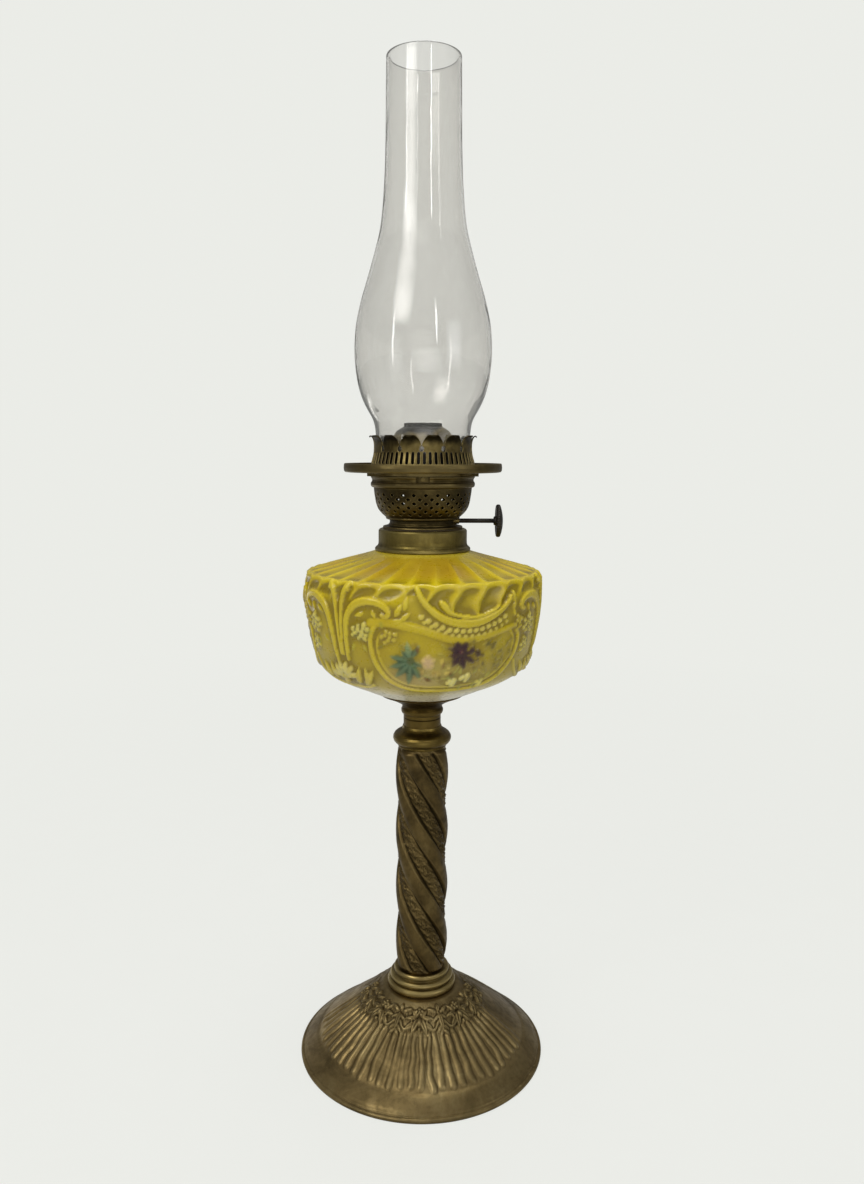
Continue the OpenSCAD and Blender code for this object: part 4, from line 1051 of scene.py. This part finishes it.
def pierced(name, f, n, nu, vs, meridian, thick, start):
    """n copies of one sector of pierced sheet round the axis. meridian(v) gives (r, z) in mm."""
    step = 360.0 / n
    us = np.linspace(0, step, nu)
    pts, faces = march(f, us, vs)
    rz = np.array([meridian(v) for v in pts[:, 1]])
    V, Fc = [], []
    for c in range(n):
        ph = np.radians(start + c * step + pts[:, 0])
        V.append(np.stack([rz[:, 0] * np.sin(ph), -rz[:, 0] * np.cos(ph), rz[:, 1]], 1))
        Fc += [[q + c * len(pts) for q in p] for p in faces]
    ob = make_mesh(name, np.concatenate(V), Fc)
    import bmesh
    bm = bmesh.new()
    bm.from_mesh(ob.data)
    bmesh.ops.remove_doubles(bm, verts=bm.verts, dist=0.00002)
    bmesh.ops.recalc_face_normals(bm, faces=bm.faces)
    bm.to_mesh(ob.data)
    bm.free()
    for p in ob.data.polygons:
        p.use_smooth = True
    so = ob.modifiers.new("thick", "SOLIDIFY")
    so.thickness = thick * MM
    so.offset = 0.0
    return ob


def build_basket():
    mer = catmull([(23.4, 384.25), (25.0, 385.4), (27.3, 387.5), (29.2, 389.8), (30.4, 392.2), (31.2, 395), (31.7, 398), (32.2, 401.2), (32.5, 404.4)], 8)
    s = np.concatenate([[0], np.cumsum(np.hypot(*np.diff(mer, axis=0).T))])
    L = s[-1]
    n = 26
    step = 360.0 / n
    meridian = lambda v: (float(np.interp(v, s, mer[:, 0])), float(np.interp(v, s, mer[:, 1])))
    rows = [5.4 + 2.75 * k for k in range(6)]

    def f(u, v):
        r = float(np.interp(v, s, mer[:, 0]))
        best = 1.0
        for k, t in enumerate(rows):
            for c in ((0.0, step) if k % 2 else (step / 2,)):
                dx = abs(u - c) * math.pi / 180 * r
                dy = abs(v - t)
                d = dx / 1.6 + dy / 1.3 - 1.0
                d = max(d, dx / 1.55 - 1.0, dy / 1.27 - 1.0)
                best = min(best, d)
        return best

    ob = pierced("air_basket", f, n, 17, np.linspace(0, L, 62), meridian, 0.7, 3.5)
    put(ob, "burner", "burner_brass", ["burner_basket"])
    # rolled bead round the basket's lower edge
    ring = lathe("basket_bead", catmull([(23.6, 383.3), (24.3, 383.5), (24.8, 384.1), (24.7, 384.9), (24.0, 385.2), (23.4, 384.6), (23.3, 383.8)], 4), 160)
    put(ring, "burner", "burner_brass")


build_basket()


def build_coronet():
    mer = catmull([(33.6, 414.35), (34.2, 415.4), (34.3, 418.0), (34.1, 420.8), (33.4, 423.4), (32.7, 426.2), (32.35, 429.2), (32.3, 432.0), (32.5, 434.2), (32.9, 435.9), (33.6, 437.4), (34.5, 438.25), (35.3, 438.15), (35.6, 437.4)], 8)
    s = np.concatenate([[0], np.cumsum(np.hypot(*np.diff(mer, axis=0).T))])
    L = s[-1]
    n = 14
    step = 360.0 / n
    meridian = lambda v: (float(np.interp(v, s, mer[:, 0])), float(np.interp(v, s, mer[:, 1])))
    sz = lambda zz: float(np.interp(zz, mer[:90, 1], s[:90]))
    s_arch = s[-1]
    s429, s434, s420, s416 = sz(429.0), sz(434.0), sz(420.5), sz(416.5)

    def f(u, v):
        r = float(np.interp(v, s, mer[:, 0]))
        x = (u - step / 2) * math.pi / 180 * r          # from the middle of the prong
        xe = min(u, step - u) * math.pi / 180 * r       # from the gap between prongs
        d = 1.0
        # outline of the prong: an arch whose shoulders fall away to a notch
        top = s_arch - 0.0
        half = 6.6
        if v > s429 + 1.9:
            k = (v - s429 - 1.9) / (top - s429 - 1.9)
            w = 7.2 * max(0.0, 1 - k ** 1.7) ** 0.62
            d = min(d, (w - abs(x)) / 1.0)
        # a row of tall slots, four to each prong, and a small round hole under each notch
        xs = ((u / step * 4.0) % 1.0 - 0.5) * step / 4.0 * math.pi / 180 * r
        sl = math.hypot(xs / 1.0, max(0.0, abs(v - (s420 + 3.6)) - 3.0) / 1.1) - 1.0
        d = min(d, sl)
        sl2 = math.hypot(xe / 1.5, max(0.0, abs(v - (s429 + 0.9)) - 0.5) / 1.5) - 1.0
        d = min(d, sl2 * 1.5)
        return d

    ob = pierced("gallery_crown", f, n, 49, np.linspace(0, L, 84), meridian, 0.7, 11.3 - step / 2)
    put(ob, "gallery", "burner_brass", ["coronet"], "crown_brass")
    # rolled wire along the foot of the crown
    ring = lathe("crown_bead", catmull([(33.9, 414.4), (34.9, 414.5), (35.4, 415.1), (35.3, 415.9), (34.7, 416.3), (34.1, 415.9), (33.8, 415.1)], 4), 200)
    put(ring, "gallery", "burner_brass")


build_coronet()


# ------------------------------------------------------------------ flame dome
def build_dome():
    # outer and inner skin with the slot cut by moving its rim, in polar rows round an oblong mouth
    nseg = 192
    phi = -180.0 + 360.0 * np.arange(nseg) / nseg
    sx, cy = np.sin(np.radians(phi)), -np.cos(np.radians(phi))

    def oblong(w, d):
        # support of a stadium w by d along direction phi
        x, y = [], []
        h, rr = (w - d) / 2, d / 2
        for a, b in zip(sx, cy):
            # ray from the centre
            if abs(b) < 1e-9:
                t = (h + rr) / abs(a)
            else:
                t = rr / abs(b)
                if abs(t * a) > h:
                    A = a * a + b * b
                    B = -2 * abs(a) * h
                    Cc = h * h - rr * rr
                    t = (-B + math.sqrt(max(B * B - 4 * A * Cc, 0))) / (2 * A)
            x.append(t * a)
            y.append(t * b)
        return np.array(x), np.array(y)

    rows = []
    outer = catmull([(22.9, 414.35), (22.8, 418), (22.6, 424), (22.0, 430), (21.1, 434.8), (19.6, 438.6), (17.2, 441.7), (14.3, 443.7)], 4)
    for r, z in outer:
        rows.append((r * sx, r * cy, np.full(nseg, z)))
    mx, my = oblong(26.0, 8.0)
    for k, z in ((0.45, 444.1), (0.8, 444.4)):
        rows.append((outer[-1, 0] * sx * (1 - k) + mx * k, outer[-1, 0] * cy * (1 - k) + my * k, np.full(nseg, z)))
    for w, d, z in ((25.7, 7.7, 444.6), (25.4, 7.4, 445.2), (25.4, 7.4, 446.4), (25.3, 7.3, 446.9), (24.9, 6.9, 447.05), (24.4, 6.4, 446.9), (24.2, 6.2, 446.3), (24.2, 6.2, 443.9), (25.0, 7.0, 443.4)):
        x, y = oblong(w, d)
        rows.append((x, y, np.full(nseg, z)))
    for r, z in catmull([(13.8, 442.9), (16.5, 440.9), (18.8, 438.1), (20.3, 434.4), (21.2, 429.8), (21.8, 423.8), (22.0, 418), (22.1, 414.35)], 3):
        rows.append((r * sx, r * cy, np.full(nseg, z)))
    n = len(rows)
    v = np.stack([np.stack(a, 1) for a in rows]).reshape(-1, 3)
    i, j = np.meshgrid(np.arange(n), np.arange(nseg), indexing="ij")
    i2, j2 = (i + 1) % n, (j + 1) % nseg
    f = np.stack([i * nseg + j, i * nseg + j2, i2 * nseg + j2, i2 * nseg + j], 2).reshape(-1, 4)
    ob = make_mesh("dome_shell", v, f)
    put(ob, "gallery", "aged_brass", ["flame_dome"], "dome_brass")


build_dome()


# ------------------------------------------------------------------ winder knob
def build_knob():
    y0, z0 = -5.6, 382.6
    n = 240
    ph = 2 * math.pi * np.arange(n) / n
    mill = 0.28 * (0.5 + 0.5 * np.cos(ph * 40))
    # (x, r, milled?) round the disc: dished towards the lamp, crowned outside
    prof = [(47.3, 1.55, 0), (47.3, 2.5, 0), (47.6, 2.9, 0), (48.6, 3.2, 0), (49.3, 3.8, 0), (49.5, 5.0, 0), (49.4, 6.6, 0), (49.0, 8.2, 0), (48.8, 9.4, 0), (48.9, 10.2, 0.4), (49.3, 10.7, 1), (49.9, 10.88, 1),
            (50.6, 10.9, 1), (51.2, 10.8, 1), (51.6, 10.4, 0.5), (51.9, 9.6, 0), (52.3, 8.4, 0), (52.7, 6.8, 0), (53.05, 5.0, 0), (53.3, 3.0, 0), (53.42, 1.2, 0), (53.45, 0.05, 0), (49.9, 0.05, 0), (49.9, 1.55, 0)]
    dense = []
    for a, b in zip(prof, prof[1:] + prof[:1]):
        for t in (0.0, 0.5):
            dense.append([a[q] + (b[q] - a[q]) * t for q in range(3)])
    P = np.array(dense)
    rr = P[:, 1:2] - P[:, 2:3] * mill[None]
    x = np.repeat(P[:, :1], n, 1)
    v = np.stack([x, y0 + rr * np.cos(ph)[None], z0 + rr * np.sin(ph)[None]], 2).reshape(-1, 3)
    i, j = np.meshgrid(np.arange(len(P)), np.arange(n), indexing="ij")
    i2, j2 = (i + 1) % len(P), (j + 1) % n
    f = np.stack([i * n + j, i2 * n + j, i2 * n + j2, i * n + j2], 2).reshape(-1, 4)
    ob = make_mesh("knob_disc", v, f)
    put(ob, "winder", "black_metal", ["winder_knob"])


build_knob()


# ------------------------------------------------------------------ wick
def build_wick():
    nx, ny, nz = 30, 5, 150
    w, d, z0, z1 = 22.0, 3.0, 284.0, 447.6
    # closed loop of the cross-section, then rows up the wick, woven surface and a frayed top
    loop = []
    for i in range(nx):
        loop.append((-w / 2 + w * i / nx, -d / 2))
    for i in range(ny):
        loop.append((w / 2, -d / 2 + d * i / ny))
    for i in range(nx):
        loop.append((w / 2 - w * i / nx, d / 2))
    for i in range(ny):
        loop.append((-w / 2, d / 2 - d * i / ny))
    loop = np.array(loop)
    n = len(loop)
    zs = np.linspace(z0, z1 - 0.5, nz)
    rows = []
    for k, z in enumerate(zs):
        s = 1 - 0.035 * (0.5 + 0.5 * np.cos(loop[:, 0] * 4.2)) - 0.02 * (0.5 + 0.5 * math.cos(z * 3.1))
        rows.append(np.stack([loop[:, 0] * 0.995, loop[:, 1] * s, np.full(n, z)], 1))
    fr = np.random.default_rng(2).uniform(-0.45, 0.0, n)
    rows[-1][:, 2] += 0.45 + fr
    v = np.concatenate(rows + [np.array([[0, 0, z0]]), np.array([[0, 0, z1 - 0.2]])])
    f = []
    for i in range(nz - 1):
        for j in range(n):
            j2 = (j + 1) % n
            f.append([i * n + j, i * n + j2, (i + 1) * n + j2, (i + 1) * n + j])
    # flat ends as strips between the two faces
    def cap(base, flip):
        for i in range(nx):
            a, b = i, i + 1
            c, dd = (2 * nx + ny - i - 1), (2 * nx + ny - i)
            q = [base + a, base + b, base + c, base + dd] if i < nx else None
            f.append(q[::-1] if flip else q)
    v = v[:-2]
    cap(0, True)
    cap((nz - 1) * n, False)
    for base, flip in ((0, True), ((nz - 1) * n, False)):
        e1 = [base + q for q in range(nx, nx + ny + 1)]
        e2 = [base + q for q in (list(range(2 * nx + ny, n)) + [0])]
        f.append(e1[::-1] if flip else e1)
        f.append(e2[::-1] if flip else e2)
    ob = make_mesh("wick_tape", v, f)
    put(ob, "wick", "cotton", ["wick"])


build_wick()


# ------------------------------------------------------------------ chimney
def build_chimney():
    ctrl = [(31.5, 414.35), (31.4, 420), (31.3, 428), (31.3, 436), (31.5, 441), (32.2, 446), (33.6, 450), (36.2, 454.6), (39.0, 460), (41.3, 466), (43.1, 473), (44.4, 482), (45.0, 491), (44.8, 500),
            (44.0, 509), (42.5, 517), (40.3, 526), (37.6, 535), (34.9, 544), (32.3, 553), (29.9, 562), (27.9, 571), (26.6, 581), (25.8, 591), (25.1, 602), (24.6, 615), (24.3, 630), (24.1, 650), (23.9, 668), (23.85, 673.2)]
    o = resample(catmull(ctrl, 10), 2.2)
    nr = normals2d(o, False)
    inn = (o - 1.7 * nr)[::-1]
    top = np.array([(23.75, 673.7), (23.4, 673.95), (22.8, 674.0), (22.3, 673.7)])
    bot = np.array([(29.95, 414.5), (30.3, 414.36), (31.1, 414.36)])
    ob = lathe("chimney_glass", np.concatenate([o, top, inn[1:-1], bot]), 224)
    put(ob, "chimney", "lamp_glass", ["chimney"])


build_chimney()

# ------------------------------------------------------------------ stage
floor_v = [(0, 0, 0)]
n = 96
rings = [0.2, 0.5, 1.0, 2.0, 5.0, 12.0, 40.0]
for rr in rings:
    for i in range(n):
        a = 2 * math.pi * i / n
        floor_v.append((rr * math.cos(a) * 1000, rr * math.sin(a) * 1000, 0))
floor_f = [[0, 1 + i, 1 + (i + 1) % n] for i in range(n)]
for k in range(len(rings) - 1):
    for i in range(n):
        a, b = 1 + k * n + i, 1 + k * n + (i + 1) % n
        floor_f.append([a, a + n, b + n, b])
floor = make_mesh("floor", floor_v, floor_f)
k = Nodes("floor_pale")
k.set(Base_Color=k.ramp(k.noise(30.0, 3.0, 0.5), [(0.3, (0.60, 0.603, 0.585, 1)), (0.7, (0.63, 0.633, 0.615, 1))]), Roughness=0.9)
em = k.n("ShaderNodeEmission")
em.inputs["Color"].default_value = (0.83, 0.84, 0.80, 1)
far = k.n("ShaderNodeVectorMath", operation="LENGTH")
k.l(k.coord(), far.inputs[0])
k.l(k.maprange(far.outputs["Value"], 0.2, 1.4, 1.050, 1.0), em.inputs["Strength"])
lpf = k.n("ShaderNodeLightPath")
mx = k.n("ShaderNodeMixShader")
k.l(k.math("MULTIPLY", lpf.outputs["Is Camera Ray"], k.maprange(far.outputs["Value"], 0.2, 1.4, 0.86, 1.0)), mx.inputs[0])
k.l(k.b.outputs[0], mx.inputs[1])
k.l(em.outputs[0], mx.inputs[2])
k.l(mx.outputs[0], k.out.inputs[0])
floor.data.materials.append(k.m)

# ------------------------------------------------------------------ light
world = bpy.data.worlds.new("studio")
scene.world = world
world.use_nodes = True
wt = world.node_tree
wt.nodes.clear()
wo = wt.nodes.new("ShaderNodeOutputWorld")
bg_seen = wt.nodes.new("ShaderNodeBackground")
bg_seen.inputs[0].default_value = (0.83, 0.84, 0.80, 1)
bg_lit = wt.nodes.new("ShaderNodeBackground")
tc = wt.nodes.new("ShaderNodeTexCoord")
sx = wt.nodes.new("ShaderNodeSeparateXYZ")
wt.links.new(tc.outputs["Generated"], sx.inputs[0])
rp = wt.nodes.new("ShaderNodeValToRGB")
mr = wt.nodes.new("ShaderNodeMapRange")
mr.inputs[1].default_value = -1
mr.inputs[2].default_value = 1
wt.links.new(sx.outputs[2], mr.inputs[0])
wt.links.new(mr.outputs[0], rp.inputs[0])
e = rp.color_ramp.elements
e[0].position, e[0].color = 0.30, (0.30, 0.29, 0.27, 1)
e[1].position, e[1].color = 0.95, (0.70, 0.71, 0.72, 1)
x = e.new(0.5)
x.color = (0.33, 0.32, 0.30, 1)
wt.links.new(rp.outputs[0], bg_lit.inputs[0])
bg_lit.inputs[1].default_value = 0.54
lp = wt.nodes.new("ShaderNodeLightPath")
mxm = wt.nodes.new("ShaderNodeMath")
mxm.operation = "MAXIMUM"
wt.links.new(lp.outputs["Is Camera Ray"], mxm.inputs[0])
wt.links.new(lp.outputs["Is Transmission Ray"], mxm.inputs[1])
mxw = wt.nodes.new("ShaderNodeMixShader")
wt.links.new(mxm.outputs[0], mxw.inputs[0])
wt.links.new(bg_lit.outputs[0], mxw.inputs[1])
wt.links.new(bg_seen.outputs[0], mxw.inputs[2])
wt.links.new(mxw.outputs[0], wo.inputs[0])


def area(name, pos, target, size, power, colour=(1, 1, 1), size_y=None):
    d = bpy.data.lights.new(name, "AREA")
    d.shape = "RECTANGLE"
    d.size, d.size_y = size, size_y or size
    d.energy = power
    d.color = colour
    o = bpy.data.objects.new(name, d)
    scene.collection.objects.link(o)
    o.location = pos
    o.rotation_euler = (Vector(target) - Vector(pos)).to_track_quat("-Z", "Y").to_euler()
    return o


def soften(o):
    """Lets a softbox fade towards its edges, as a real one does."""
    d = o.data
    d.use_nodes = True
    t = d.node_tree
    em = [n for n in t.nodes if n.type == "EMISSION"][0]
    g = t.nodes.new("ShaderNodeNewGeometry")
    sp = t.nodes.new("ShaderNodeSeparateXYZ")
    t.links.new(g.outputs["Parametric"], sp.inputs[0])
    prod = None
    for i in (0, 1):
        a = t.nodes.new("ShaderNodeMath")
        a.operation = "MULTIPLY_ADD"
        a.inputs[1].default_value, a.inputs[2].default_value = -1.0, 1.0
        t.links.new(sp.outputs[i], a.inputs[0])
        m = t.nodes.new("ShaderNodeMath")
        m.operation = "MULTIPLY"
        t.links.new(sp.outputs[i], m.inputs[0])
        t.links.new(a.outputs[0], m.inputs[1])
        q = t.nodes.new("ShaderNodeMath")
        q.operation = "MULTIPLY"
        q.inputs[1].default_value = 6.0
        t.links.new(m.outputs[0], q.inputs[0])
        if prod is None:
            prod = q.outputs[0]
        else:
            w = t.nodes.new("ShaderNodeMath")
            w.operation = "MULTIPLY"
            t.links.new(prod, w.inputs[0])
            t.links.new(q.outputs[0], w.inputs[1])
            prod = w.outputs[0]
    t.links.new(prod, em.inputs["Strength"])


soften(area("key", (-1.05, -1.30, 1.55), (0, 0, 0.33), 1.25, 12.9, (1.0, 0.985, 0.95), 1.2))
soften(area("front", (0.18, -2.0, 0.30), (0, 0, 0.33), 2.1, 3.9, (1, 0.99, 0.97), 0.7))
soften(area("fill", (1.25, -0.95, 0.65), (0, 0, 0.3), 0.9, 2.6, (0.96, 0.98, 1.0)))
soften(area("top", (0.05, 0.0, 1.75), (0, 0, 0.3), 1.0, 12.2, (1, 1, 0.99)))
soften(area("low_left", (-0.85, 1.05, 0.09), (0, 0, 0.03), 0.9, 0.42, (1.0, 0.98, 0.93), 0.15))
soften(area("strip_left", (-1.05, -0.85, 0.78), (0, 0, 0.55), 0.07, 1.5, (1, 1, 1), 1.0))
soften(area("strip_right", (0.50, -1.25, 1.0), (0, 0, 0.6), 0.07, 1.3, (1, 1, 1), 0.8))
